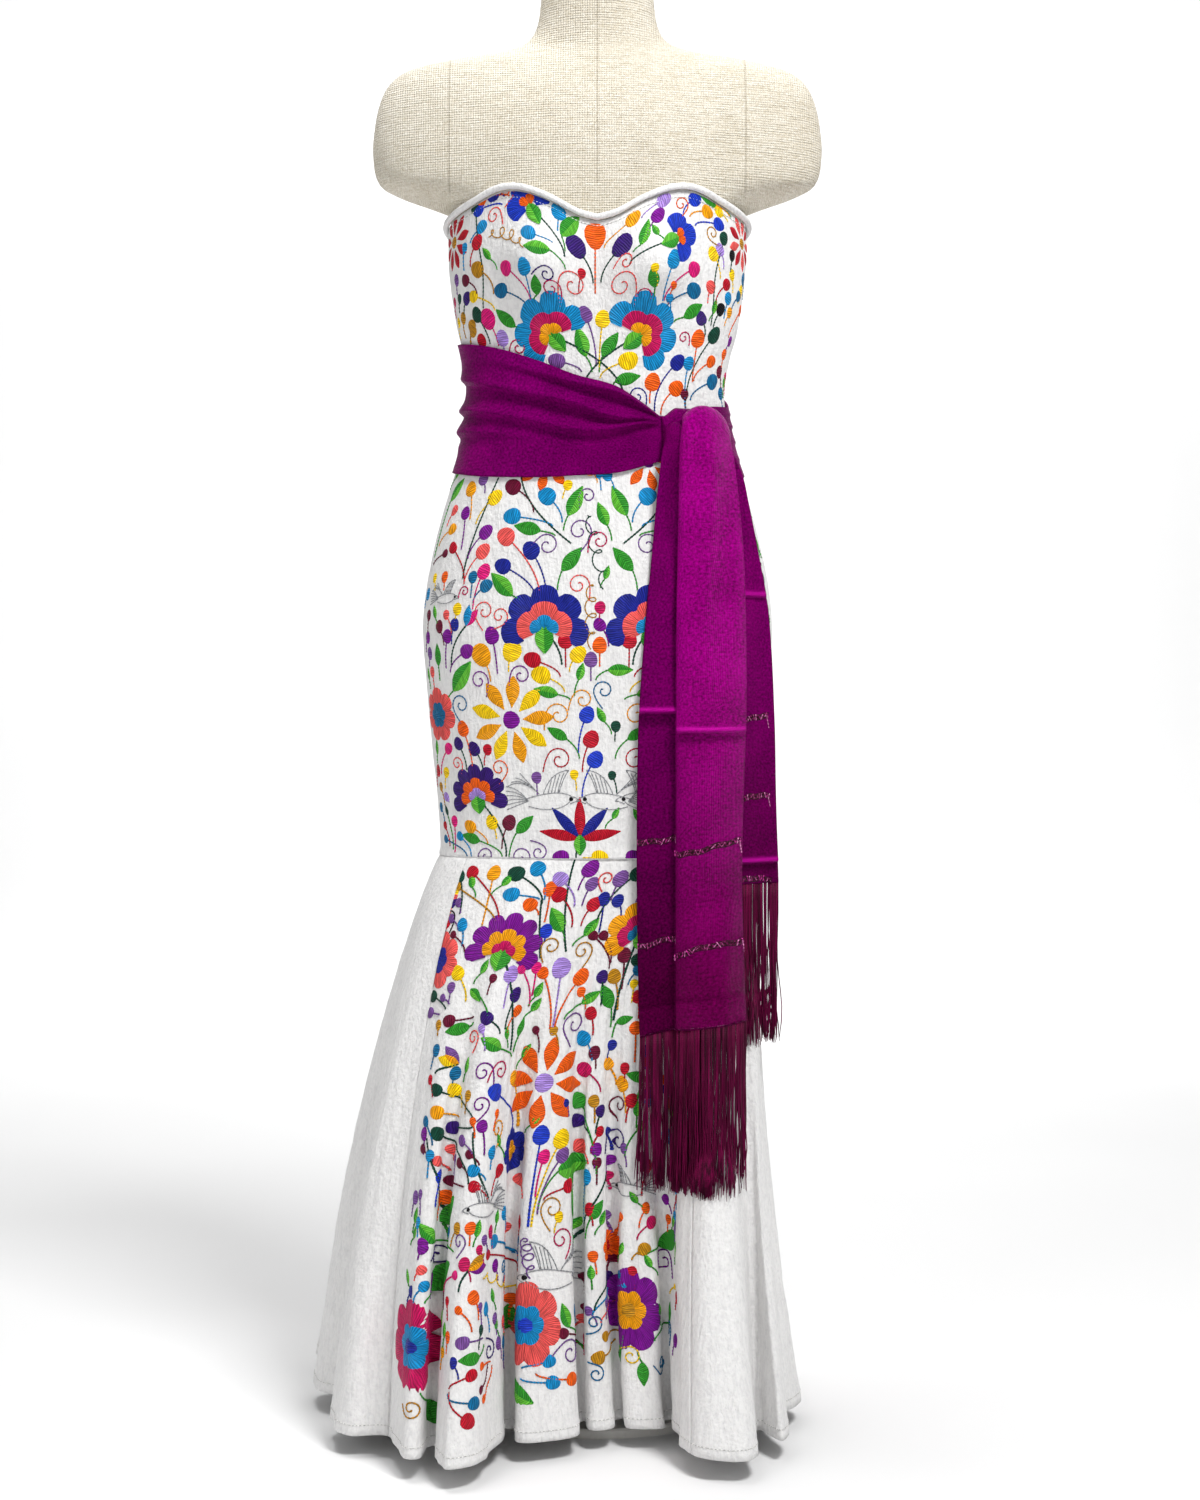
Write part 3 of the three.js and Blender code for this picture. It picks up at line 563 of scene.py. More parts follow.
def valley_relief(panel):
    """Sharp creases where two folds meet: depth exp(-distance / width) at each valley, whose place
    is every third step of u and is found again on the even grid by its share of the hem's length.
    Valleys on a seam are left as they are, so that neighbouring panels still meet."""
    start, stop = panel["edges"]
    u = np.linspace(start, stop, 1200)
    run = np.concatenate([[0], np.cumsum(np.linalg.norm(np.diff(hem_place(u), axis=0), axis=1))])
    x = panel["flat"][..., 0] + panel["widths"][:, None] / 2
    depth = np.zeros_like(x)
    for valley in range(math.floor(start / 3) * 3 + 3, math.ceil(stop), 3):
        share = np.interp(valley, u, run) / run[-1]
        distance = np.abs(x - share * panel["widths"][:, None])
        depth -= VALLEY_DEPTH * np.exp(-distance / VALLEY_WIDTH)
    return depth * smooth_step(KNEE_SEAM - 60, HEM + 60, panel["flat"][..., 1])


def flounce_relief(panel, seed):
    """Long furrows that follow the fall of the cloth, fine puckers, and the folded hem."""
    x, z = panel["flat"][..., 0], panel["flat"][..., 1]
    share = np.linspace(0, 1, x.shape[1])[None, :]
    falling = smooth_step(KNEE_SEAM, KNEE_SEAM - 120, z)
    furrow = np.sin(share * panel["widths"].max() / 4.1 + 1.6 * waves(x, z, seed, 6, 240, 70))
    strength = 0.5 + 0.5 * waves(x, z, seed + 2, 5, 320, 80)
    puckers = 0.36 * waves(x, z, seed + 1, 12, 40, 8)
    hem = 0.55 * smooth_step(HEM + HEM_BAND + 1.5, HEM + HEM_BAND - 0.5, z)
    hem_pull = 0.35 * np.sin(share * panel["widths"].max() / 1.9) * bell(z - HEM - HEM_BAND, 9)
    soft = 2.2 * np.sin(share * panel["widths"].max() / 12 + 1.4 * waves(x, z / 3, seed + 9, 5, 200, 90))
    relief = (0.6 * furrow * strength + soft * smooth_step(KNEE_SEAM - 90, HEM + 150, z)) * falling
    relief = relief + puckers * smooth_step(KNEE_SEAM, KNEE_SEAM - 25, z)
    joined = smooth_step(0, 0.035, share) * smooth_step(1, 0.965, share)
    return relief * joined + hem + hem_pull * joined + valley_relief(panel)


PANELS = {}
for name, shape, edges, size, seed in (
    ("dress_front", fitted_panel, (-90, 90), (128, 112), 1),
    ("dress_back_left", fitted_panel, (180, 270), (100, 52), 2),
    ("dress_back_right", fitted_panel, (90, 180), (100, 52), 3),
    ("flounce_front", flounce_panel, (0, 16), (112, 190), 4),
    ("flounce_side_right", flounce_panel, (16, 23), (84, 84), 5),
    ("flounce_back_right", flounce_panel, (23, 33), (90, 110), 6),
    ("flounce_back_left", flounce_panel, (33, 42), (90, 110), 7),
    ("flounce_side_left", flounce_panel, (42, 51), (84, 100), 8),
):
    smooth_panel = shape(*edges, *size)
    relief = fitted_relief if shape is fitted_panel else flounce_relief
    PANELS[name] = lifted(smooth_panel, relief(smooth_panel, seed))
    print(name, "widths (mm):", PANELS[name]["widths"][[0, -1]].round(), "grid:", size)


# %% [markdown]
# ## Shader groups
# Three effects come back in several finishes: a plain weave, a crinkle, and the lines of satin
# stitches. Each is a node group with named inputs, built once and placed in each material with its
# own sizes. The groups put out only values; the shader stays in the material.

# %% Node group helpers
def new_group(name, inputs, outputs):
    """A shader node group: inputs are (name, kind, default), outputs are (name, kind)."""
    group = bpy.data.node_groups.new(name, "ShaderNodeTree")
    for title, kind, default in inputs:
        socket = group.interface.new_socket(title, in_out="INPUT", socket_type=f"NodeSocket{kind}")
        if default is not None:
            socket.default_value = default
    for title, kind in outputs:
        group.interface.new_socket(title, in_out="OUTPUT", socket_type=f"NodeSocket{kind}")
    return group, group.nodes.new("NodeGroupInput"), group.nodes.new("NodeGroupOutput")


def node(tree, kind, inputs=None, **settings):
    """Add one node, set its options, and link or set its inputs."""
    made = tree.nodes.new(kind)
    for title, value in settings.items():
        setattr(made, title, value)
    for key, value in (inputs or {}).items():
        if isinstance(value, bpy.types.NodeSocket):
            tree.links.new(value, made.inputs[key])
        else:
            made.inputs[key].default_value = value
    return made


def calc(tree, operation, a, b=0.5, c=None):
    """One Math node; returns its output socket."""
    values = {0: a, 1: b} if c is None else {0: a, 1: b, 2: c}
    return node(tree, "ShaderNodeMath", values, operation=operation).outputs[0]


# %% The weave group
def make_weave_group():
    """Two sets of ribs across each other, each |sin| shaped, broken up by noise: one height."""
    group, given, result = new_group(
        "weave",
        [("Vector", "Vector", None), ("Threads per metre", "Float", 1500.0), ("Slubs", "Float", 0.3)],
        [("Height", "Float"), ("Slub", "Float")],
    )
    noise = node(group, "ShaderNodeTexNoise", {"Vector": given.outputs[0], "Scale": 90.0, "Detail": 3.0})
    bent = node(group, "ShaderNodeVectorMath", {0: noise.outputs["Color"], "Scale": 0.0012},
                operation="SCALE")
    place = node(group, "ShaderNodeVectorMath", {0: given.outputs[0], 1: bent.outputs[0]}, operation="ADD")
    parts = node(group, "ShaderNodeSeparateXYZ", {0: place.outputs[0]})
    ribs = []
    for axis in ("X", "Z"):
        phase = calc(group, "MULTIPLY", parts.outputs[axis], given.outputs[1])
        ribs.append(calc(group, "ABSOLUTE", calc(group, "SINE", calc(group, "MULTIPLY", phase, math.pi))))
    stretched = node(group, "ShaderNodeMapping", {"Vector": given.outputs[0], "Scale": (1.0, 1.0, 14.0)})
    slub = node(group, "ShaderNodeTexNoise", {"Vector": stretched.outputs[0], "Scale": 55.0, "Detail": 4.0})
    height = calc(group, "ADD", ribs[0], ribs[1])
    height = calc(group, "MULTIPLY_ADD", slub.outputs["Fac"], given.outputs[2], height)
    group.links.new(height, result.inputs[0])
    group.links.new(slub.outputs["Fac"], result.inputs[1])
    return group


WEAVE = make_weave_group()


# %% The crinkle group
def make_crinkle_group():
    """Fine upright furrows: noise stretched along Z, mixed with rounder puckers."""
    group, given, result = new_group(
        "crinkle",
        [("Vector", "Vector", None), ("Furrows per metre", "Float", 260.0), ("Roundness", "Float", 0.5)],
        [("Height", "Float")],
    )
    squeezed = node(group, "ShaderNodeMapping", {"Vector": given.outputs[0], "Scale": (1.0, 1.0, 0.22)})
    furrows = node(group, "ShaderNodeTexNoise", {"Vector": squeezed.outputs[0], "Scale": given.outputs[1],
                                                 "Detail": 5.0, "Distortion": 0.6})
    puckers = node(group, "ShaderNodeTexNoise",
                   {"Vector": given.outputs[0], "Scale": given.outputs[1], "Detail": 4.0})
    height = calc(group, "MULTIPLY_ADD", puckers.outputs["Fac"], given.outputs[2], furrows.outputs["Fac"])
    group.links.new(height, result.inputs[0])
    return group


CRINKLE = make_crinkle_group()


# %% The stitch group
def make_stitch_group():
    """Satin stitches side by side along the first texture coordinate, in metres, each with its own
    shade: height |sin|, shade from noise that is fine across the stitches and long along them."""
    group, given, result = new_group(
        "stitches",
        [("Vector", "Vector", None), ("Stitches per metre", "Float", 1100.0)],
        [("Height", "Float"), ("Shade", "Float")],
    )
    wobble = node(group, "ShaderNodeTexNoise", {"Vector": given.outputs[0], "Scale": 160.0, "Detail": 2.0})
    parts = node(group, "ShaderNodeSeparateXYZ", {0: given.outputs[0]})
    moved = calc(group, "MULTIPLY_ADD", wobble.outputs["Fac"], 0.0022, parts.outputs["X"])
    phase = calc(group, "MULTIPLY", calc(group, "MULTIPLY", moved, given.outputs[1]), math.pi)
    ridge = calc(group, "ABSOLUTE", calc(group, "SINE", phase))
    long_way = node(group, "ShaderNodeMapping", {"Vector": given.outputs[0], "Scale": (1.0, 0.12, 1.0)})
    shade = node(group, "ShaderNodeTexNoise", {"Vector": long_way.outputs[0], "Scale": 520.0, "Detail": 3.0})
    group.links.new(ridge, result.inputs[0])
    group.links.new(shade.outputs["Fac"], result.inputs[1])
    return group


STITCHES = make_stitch_group()
print("node groups:", [group.name for group in bpy.data.node_groups])


# %% [markdown]
# ## Finishes
# A finish starts as one Principled shader. Numbers that are the same all over are set on the shader
# itself. Only what changes over the surface is linked: colour, roughness and the bump.

# %% Material helpers
def rgb(code):
    """A colour from its usual six digits, turned from screen values into light values."""
    parts = np.array([int(code[i:i + 2], 16) for i in (0, 2, 4)]) / 255
    linear = np.where(parts <= 0.04045, parts / 12.92, ((parts + 0.055) / 1.055) ** 2.4)
    return tuple(linear.tolist()) + (1.0,)


def new_material(name, **constants):
    """A material with one Principled shader, and its constant sockets set by name."""
    material = bpy.data.materials.new(name)
    material.use_nodes = True
    tree = material.node_tree
    shader = tree.nodes["Principled BSDF"]
    for title, value in constants.items():
        shader.inputs[title.replace("_", " ")].default_value = value
    return material, tree, shader


def use_group(tree, group, vector, **values):
    """A node that uses one of the groups at a place, with its other inputs set by name."""
    placed = node(tree, "ShaderNodeGroup", node_tree=group)
    tree.links.new(vector, placed.inputs["Vector"])
    for title, value in values.items():
        placed.inputs[title.replace("_", " ")].default_value = value
    return placed


def two_colours(tree, factor, first, second, low=0.35, high=0.65):
    """A smooth change from one colour to another over a range of a value."""
    ramp = node(tree, "ShaderNodeValToRGB", {0: factor})
    ramp.color_ramp.elements[0].position, ramp.color_ramp.elements[1].position = low, high
    ramp.color_ramp.elements[0].color, ramp.color_ramp.elements[1].color = rgb(first), rgb(second)
    return ramp.outputs["Color"]


def bump(tree, shader, height, strength, distance, under=None):
    """Feed a height in metres x distance to the shader's normal, over an earlier bump if given."""
    made = node(tree, "ShaderNodeBump", {"Height": height, "Strength": strength, "Distance": distance})
    if under is not None:
        tree.links.new(under, made.inputs["Normal"])
    tree.links.new(made.outputs[0], shader.inputs["Normal"])
    return made.outputs[0]


# %% Cotton
def cotton_material(name, white, shade, crinkle_depth):
    """Matt white gauze: fine crinkle over a plain weave, slightly greyer in its furrows as painted shade."""
    material, tree, shader = new_material(name, Roughness=0.86, Sheen_Weight=0.15, Sheen_Roughness=0.5,
                                          Specular_IOR_Level=0.25)
    place = node(tree, "ShaderNodeTexCoord").outputs["Object"]
    crinkle = use_group(tree, CRINKLE, place, Furrows_per_metre=300.0, Roundness=0.7)
    weave = use_group(tree, WEAVE, place, Threads_per_metre=1100.0, Slubs=1.2)
    # painted shade: the low parts of the crinkle take the greyer shade colour
    colour = two_colours(tree, crinkle.outputs[0], shade, white, 0.6, 0.95)
    tree.links.new(colour, shader.inputs["Base Color"])
    first = bump(tree, shader, weave.outputs[0], 0.25, 0.0005)
    bump(tree, shader, crinkle.outputs[0], 0.55, crinkle_depth, first)
    return material


# E2E1E1 is the painted shade in the furrows of the crinkle
cotton = cotton_material("white crinkled cotton", "F1F0EF", "E2E1E1", 0.004)
print("finish:", cotton.name)

# %% [markdown]
# ## The cloth of the dress
# Each panel is built as real cloth, 1.4 mm thick, on its own grid. It takes the place of the plain
# CAD panel of the same name.

# %% Build the dress panels
for name, panel in PANELS.items():
    uv = panel["flat"] * MM
    piece = cloth_wall(name + "_cloth", panel["points"], CLOTH, uv)
    piece.data.materials.append(cotton)
    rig.ride(piece, "root")
    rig.replaces(piece, name)
    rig.slot(piece, "cotton")
    widths, heights = panel["widths"] * MM, panel["heights"] * MM
    cut = (float(widths.max()), float(abs(heights[-1] - heights[0]) * 1.04))
    area = float(((widths[1:] + widths[:-1]) / 2 * np.diff(heights)).sum()) * 1.03
    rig.sheet(piece, flat=cut, held="gathered" if "flounce" in name else "stretched",
             rests_on=["form_torso"], area=min(area, cut[0] * cut[1]))
    print(piece.name, "cut (m):", [round(side, 3) for side in cut], "area (m2):", round(area, 3))

# %% [markdown]
# ## The neckline binding
# A narrow strip is rolled round the raw edge of the neckline. It is a tube whose path follows the
# neckline: a circle carried round the body, a little uneven where the cloth inside it bunches.

# %% Neckline binding
PIPING_RADIUS, PIPING_OUT = 3.2, 2.4


def piping_points(angles, turns):
    """Circle of radius PIPING_RADIUS round the neckline, swollen a little by slow waves."""
    angle, turn = np.meshgrid(angles, turns, indexing="ij")
    radius = PIPING_RADIUS * (1 + 0.05 * np.sin(angle * 1.9) * np.sin(angle * 0.63 + 2 * turn))
    around = body_point(angle, neckline_height(angle), PIPING_OUT + radius * np.cos(turn))
    around[..., 2] += PIPING_RADIUS + SEAM + radius * np.sin(turn)
    return around


angles, turns = np.arange(0, 360, 1.5), np.linspace(0, math.tau, 12, endpoint=False)
ring = piping_points(angles, turns)
ring = np.concatenate([ring, ring[:1]])
faces = grid_faces(*ring.shape[:2], wrap=True) % (len(angles) * len(turns))
uv = np.stack(np.meshgrid(angles / 360 * 0.8, turns / math.tau * 0.02, indexing="ij"), axis=-1)
piping = new_mesh("neckline_binding", ring[:-1], faces, uv)
piping.data.materials.append(cotton)
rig.ride(piping, "root")
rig.replaces(piping, "neckline_piping")
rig.slot(piping, "piping")
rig.sheet(piping, flat=(0.012, 0.83), held="folded", rests_on=["dress_front_cloth"])
print("binding:", len(faces), "faces")

# %% [markdown]
# ## Embroidery, stitch by stitch
# The flowers are satin stitch: threads laid side by side until they make a slightly raised pad.
# Stems are back stitch, a row of short beads of thread. A picture could fake this, but real pads
# catch the light and follow the folds. So each motif is drawn flat, as a few small grids in
# millimetres, and then carried onto the cloth: sideways along a panel, up its length, and a little
# out along its normal.

# %% Thread colours
THREADS = {name: rgb(code)[:3] for name, code in {
    "nv": "1B2690", "rb": "1C3CC4", "tq": "0F8BC8", "tl": "0B6A9B", "pu": "7B0F90", "dp": "35166F",
    "li": "AB8ADB", "mv": "7A4F98", "cr": "C4105A", "pk": "E0187A", "rd": "BE0F28", "wn": "6B0B30",
    "co": "F05A57", "or": "F2600F", "am": "F5A20C", "yl": "FBD10A", "gd": "C08716", "gr": "33982C",
    "lg": "62BE38", "dg": "0E4434", "bk": "0C0C12", "gy": "A3A5A9", "wh": "F4F3F0",
}.items()}
print("thread colours:", len(THREADS))


# %% Flat patches
def patch(x, z, lift, u, v, colour):
    """One small grid of stitches: place in mm, lift, texture place, and thread colour."""
    return np.stack(np.broadcast_arrays(x, z, lift, u, v, *colour), axis=-1).astype(float)


def turned(shape, degrees):
    """The same patch turned clockwise in its own plane."""
    s, c = math.sin(math.radians(degrees)), math.cos(math.radians(degrees))
    x, z = shape[..., 0].copy(), shape[..., 1].copy()
    moved = shape.copy()
    moved[..., 0], moved[..., 1] = x * c + z * s, z * c - x * s
    return moved


def shifted(shape, x=0.0, z=0.0, lift=0.0):
    """A shape moved sideways, up, or off the cloth."""
    return shape + np.array([x, z, lift, 0, 0, 0, 0, 0])


def pad(radius, tall, colour):
    """Oval pad: radius in all directions, times tall upwards, domed as a half ellipse."""
    rho, turn = np.meshgrid(np.array([0, 0.5, 0.8, 0.95, 1.0]), np.linspace(0, math.tau, 15), indexing="ij")
    edge = radius * (1 + 0.04 * np.sin(3 * turn + radius))
    x, z = edge * rho * np.sin(turn), edge * tall * rho * np.cos(turn)
    return patch(x, z, 1.1 * np.sqrt(1 - rho ** 2) - 0.2, z, x, colour)


def petal(length, width, colour, blunt=1.35, half=None):
    """Teardrop from the origin upwards: half width is a sine of the share of the length to a power;
    the lift is a half ellipse across. half = -1 or 1 keeps one side of the middle line."""
    sides = {None: np.linspace(-1, 1, 7), -1: np.linspace(-1, 0, 5), 1: np.linspace(0, 1, 5)}[half]
    s, t = np.meshgrid(np.linspace(0, 1, 10), sides, indexing="ij")
    reach = width / 2 * np.sin(np.pi * np.clip(s, 0.02, 0.98) ** blunt) ** 0.8
    across = np.sqrt(1 - t ** 2) * (1 if half is None else 1 - 0.5 * bell(t, 0.2))
    lift = 1.0 * across * np.sin(np.pi * np.clip(s, 0.03, 0.97)) ** 0.35 - 0.2
    x, z = reach * t, s * length
    return patch(x, z, lift, z + 0.5 * np.abs(x), x, colour)


def leaf(length, colours):
    """A leaf is two half petals that meet at a groove, one a little lighter than the other."""
    dark, light = THREADS[colours[0]], THREADS[colours[1]]
    return [petal(length, length * 0.52, dark, 0.78, -1), petal(length, length * 0.52, light, 0.78, 1)]


def fan(inner, outer, sweep, lobes, colour, base=0.0):
    """Scalloped band: the angle runs over the sweep, the outer edge bulges as |sin| for each lobe."""
    angle = np.radians(np.linspace(-sweep / 2, sweep / 2, lobes * 8 + 1))
    bulge = np.abs(np.sin(np.linspace(0, math.pi * lobes, lobes * 8 + 1))) ** 0.55
    rho, _ = np.meshgrid(np.array([0, 0.08, 0.35, 0.65, 0.9, 1.0]), angle, indexing="ij")
    edge = outer * (0.8 + 0.2 * bulge)
    reach = mix(inner, edge[None, :], rho)
    dome = np.sqrt(np.clip(1 - (2 * rho - 1) ** 4, 0, 1)) * (0.62 + 0.38 * bulge[None, :])
    x, z = reach * np.sin(angle), reach * np.cos(angle)
    return patch(x, z, base + 1.05 * dome - 0.2, angle[None, :] * outer * 0.8, reach, colour)


# %% Back stitch
STITCH = 3.6


def stem(points, colour, width=0.85):
    """A row of stitches along a line: sampled twice a stitch, lifted as |sin| over each stitch, and
    darker where one stitch dives under the next, as painted shade."""
    points = np.asarray(points, dtype=float)
    steps = np.linalg.norm(np.diff(points, axis=0), axis=1)
    run = np.concatenate([[0], np.cumsum(steps)])
    place = np.arange(max(math.ceil(run[-1] / STITCH * 2), 2) + 1) * STITCH / 2
    line = np.stack([np.interp(place, run, points[:, axis]) for axis in range(2)], axis=1)
    way = np.gradient(line, axis=0)
    way /= np.maximum(np.linalg.norm(way, axis=1, keepdims=True), 1e-6)
    side = np.stack([way[:, 1], -way[:, 0]], axis=1)
    bead = np.abs(np.sin(np.pi * place / STITCH))[:, None]
    across = np.array([-1, -0.45, 0.45, 1])[None, :]
    high = np.array([0, 1, 1, 0])[None, :]
    wide = width * (0.7 + 0.3 * bead) * across
    # painted shade: the thread colour darkens where the stitch dips under the next
    shade = 0.55 + 0.45 * bead + 0 * across
    return patch(line[:, :1] + side[:, :1] * wide, line[:, 1:] + side[:, 1:] * wide,
                 high * (0.25 + 0.55 * bead) - 0.15 * (1 - high), place[:, None] * 0.5, wide,
                 [channel * shade for channel in colour])


def bezier(*corners):
    """Cubic curve from its four corner points: the usual weights of t and 1 - t."""
    t = np.linspace(0, 1, 30)[:, None]
    a, b, c, d = (np.array(corner, dtype=float) for corner in corners)
    return a * (1 - t) ** 3 + 3 * b * t * (1 - t) ** 2 + 3 * c * t ** 2 * (1 - t) + d * t ** 3


def fountain(dx, dz):
    """A stem that leaves its bud sideways and comes down upright."""
    return bezier((0, 0), (0.62 * dx, 0.3 * dz), (dx, 0.65 * dz), (dx, dz))


def curl_line(radius, side):
    """Spiral whose radius grows from its middle, then a short tail downwards."""
    share = np.linspace(0, 1, 40)
    reach = radius * (0.14 + 0.86 * share ** 0.85)
    angle = side * (math.pi / 2 - math.tau * 1.25 * (1 - share))
    tail = bezier((side * radius, 0), (side * radius, -0.7 * radius), (side * 0.9 * radius, -1.0 * radius),
                  (side * 0.7 * radius, -1.6 * radius))
    return np.concatenate([np.stack([reach * np.sin(angle), reach * np.cos(angle)], axis=1), tail[1:]])


def loops_line(dx, dz):
    """A line that runs on while it turns in small circles."""
    share = np.linspace(0, 1, 90)
    turn = math.tau * 4 * share
    radius = 5.6 * np.sin(np.pi * share) ** 0.4
    return np.stack([dx * share + radius * np.sin(turn), dz * share + radius * (1 - np.cos(turn))], axis=1)


# %% Whole motifs
def facing(shapes, degrees):
    """All the shapes of a motif turned by the same angle."""
    return [turned(shape, degrees) for shape in shapes]


def calyx(length, width):
    """The green cup under a flower: two halves of a leaf that point down."""
    green = [petal(length, width, THREADS["gr"], 0.9, -1), petal(length, width, THREADS["lg"], 0.9, 1)]
    return [shifted(turned(half, 180), z=length * 0.18, lift=0.75) for half in green]


def flower(kind, size, turn, colours):
    """A flower head by kind. Fans open away from the stem, daisies and roses are round, and a lily
    has pointed petals."""
    first, second, third, fourth = (THREADS[name] for name in colours)
    if kind == "fan3":
        shapes = [fan(0.22 * size, size, 205, 3, first), fan(0, 0.5 * size, 120, 2, third, 0.35)]
        shapes += calyx(0.85 * size, 0.62 * size)
    elif kind == "fan5":
        shapes = [fan(0.5 * size, size, 235, 5, first), fan(0.26 * size, 0.66 * size, 225, 3, second, 0.25),
                  fan(0, 0.36 * size, 215, 3, third, 0.5)] + calyx(0.62 * size, 0.42 * size)
    elif kind == "fan7":
        shapes = [fan(0.45 * size, size, 232, 7, first), fan(0.24 * size, 0.62 * size, 220, 5, second, 0.25),
                  fan(0, 0.32 * size, 210, 3, third, 0.5)] + calyx(0.55 * size, 0.5 * size)
    elif kind == "coral":
        shapes = [fan(0.36 * size, size, 360, 7, first), fan(0.12 * size, 0.5 * size, 360, 6, third, 0.3),
                  shifted(pad(0.2 * size, 1.0, fourth), lift=0.5)]
    elif kind in ("daisy", "orange"):
        count = 9 if kind == "daisy" else 8
        blade = [petal(0.72 * size, 0.36 * size, first if i % 2 else second, 1.25) for i in range(count)]
        shapes = [turned(shifted(one, z=0.27 * size), 360 * i / count + 6) for i, one in enumerate(blade)]
        shapes.append(pad(0.21 * size, 1.0, third))
    elif kind == "bud":
        shapes = [turned(petal(size, 0.5 * size, first, 0.9), -16),
                  turned(petal(size, 0.5 * size, second, 0.9), 16),
                  shifted(petal(0.75 * size, 0.34 * size, third, 0.9), lift=0.35)]
    else:
        shapes = [turned(petal(size, 0.3 * size, colour, 0.85), angle) for angle, colour in (
            (-80, first), (-42, second), (0, first), (42, second), (80, first))]
        shapes += calyx(0.5 * size, 0.3 * size)
    return facing(shapes, turn)


def dove(size, side):
    """A bird drawn only in grey running lines, with a black eye: back, belly, raised wing, tail."""
    grey = THREADS["gy"]
    lines = [
        bezier((0.5, 0.05), (0.3, 0.2), (-0.1, 0.12), (-0.5, 0.0)),
        bezier((0.5, 0.05), (0.45, -0.2), (0.0, -0.3), (-0.45, -0.16)),
        bezier((0.5, 0.05), (0.6, 0.04), (0.62, 0.0), (0.66, -0.04)),
        bezier((0.66, -0.04), (0.58, -0.04), (0.52, -0.08), (0.46, -0.1)),
        bezier((0.22, 0.12), (0.3, 0.4), (0.36, 0.5), (0.44, 0.62)),
        bezier((0.44, 0.62), (0.2, 0.6), (0.0, 0.45), (-0.12, 0.1)),
    ]
    lines += [bezier((0.2 - 0.07 * i, 0.12), (0.22 - 0.07 * i, 0.25), (0.26 - 0.06 * i, 0.4),
                     (0.34 - 0.09 * i, 0.56 - 0.03 * i)) for i in range(4)]
    lines += [bezier((-0.45, -0.05), (-0.6, 0.05 * i - 0.1), (-0.75, 0.08 * i - 0.16),
                     (-0.95, 0.1 * i - 0.24)) for i in range(6)]
    lines += [bezier((-0.2, 0.1), (-0.4, 0.3), (-0.5 - 0.06 * i, 0.42),
                     (-0.62 - 0.1 * i, 0.55 - 0.1 * i)) for i in range(4)]
    mirror = np.array([side, 1.0]) * size / 1.6
    shapes = [stem(line * mirror, grey, 0.62) for line in lines]
    eye = shifted(pad(0.028 * size, 1.0, THREADS["bk"]), x=0.48 * mirror[0], z=0.0, lift=0.2)
    return shapes + [eye]


# %% From rows of a table to patches
def rows_of(text):
    """Rows of a small table, parted by commas: numbers become numbers, names stay names."""
    def value(word):
        """A number where the word is one, else the word."""
        return float(word) if word.lstrip("-").replace(".", "", 1).isdigit() else word
    rows = text.replace("\n", " ").split(",")
    return [[value(word) for word in row.split()] for row in rows if row.strip()]


GREENS = {"lg": ("gr", "lg"), "gr": ("gr", "gr"), "dg": ("dg", "dg")}


def stitched(tables):
    """All the patches of a set of tables, each with the share and height of its anchor."""
    made = []

    def put(share, height, shapes):
        """Add shapes at one place of the panel."""
        made.extend((shape, share, height) for shape in shapes)

    for share, height, radius, colour, dx, dz in rows_of(tables.get("BALLS", "")):
        way = math.degrees(math.atan2(-0.7 * dx, -0.4 * dz)) if (dx or dz) else 0
        stalk = "dg" if colour in ("dp", "bk", "dg") else colour
        head = turned(pad(1.12 * radius, 1.16, THREADS[colour]), way)
        put(share, height, [stem(fountain(1.1 * dx, 1.1 * dz), THREADS[stalk], 1.05), head])
    for share, height, length, turn, shade, dx, dz in rows_of(tables.get("LEAVES", "")):
        blade = facing(leaf(1.18 * length, GREENS[shade]), turn)
        put(share, height, [stem(fountain(dx, dz), THREADS["gr"], 1.05)] + blade)
    for share, height, radius, tail, side, colour in rows_of(tables.get("CURLS", "")):
        put(share, height, [turned(stem(curl_line(1.15 * radius, side), THREADS[colour], 0.95), 180 - tail)])
    for share, height, dx, dz, colour in rows_of(tables.get("LOOPS", "")):
        put(share, height, [stem(loops_line(dx, dz), THREADS[colour], 0.85)])
    for share, height, dx, dz, bow, colour in rows_of(tables.get("STEMS", "")):
        line = bezier((0, 0), (0.25 * dx - bow, 0.4 * dz), (0.75 * dx - bow, 0.75 * dz), (dx, dz))
        put(share, height, [stem(line, THREADS[colour], 1.15)])
    for share, height, size, side in rows_of(tables.get("DOVES", "")):
        put(share, height, dove(1.85 * size, 1 if side > 0 else -1))
    for kind, share, height, size, turn, a, b, c, d, dx, dz in rows_of(tables.get("FLOWERS", "")):
        stalk = [stem(fountain(dx, dz), THREADS["dg"], 1.3)] if (dx or dz) else []
        squeeze = np.array([(tables.get("WIDTHS") or {}).get(share, 1.0)] + [1.0] * 7)
        put(share, height, stalk + [shape * squeeze for shape in flower(kind, size, turn, (a, b, c, d))])
    return made


# %% Carry the patches onto the cloth
def sampled(grid, row, column):
    """Values between the points of a grid, mixed from the four around them."""
    r = np.clip(np.floor(row).astype(int), 0, grid.shape[0] - 2)
    c = np.clip(np.floor(column).astype(int), 0, grid.shape[1] - 2)
    s, t = (row - r)[:, None], (column - c)[:, None]
    return mix(mix(grid[r, c], grid[r, c + 1], t), mix(grid[r + 1, c], grid[r + 1, c + 1], t), s)


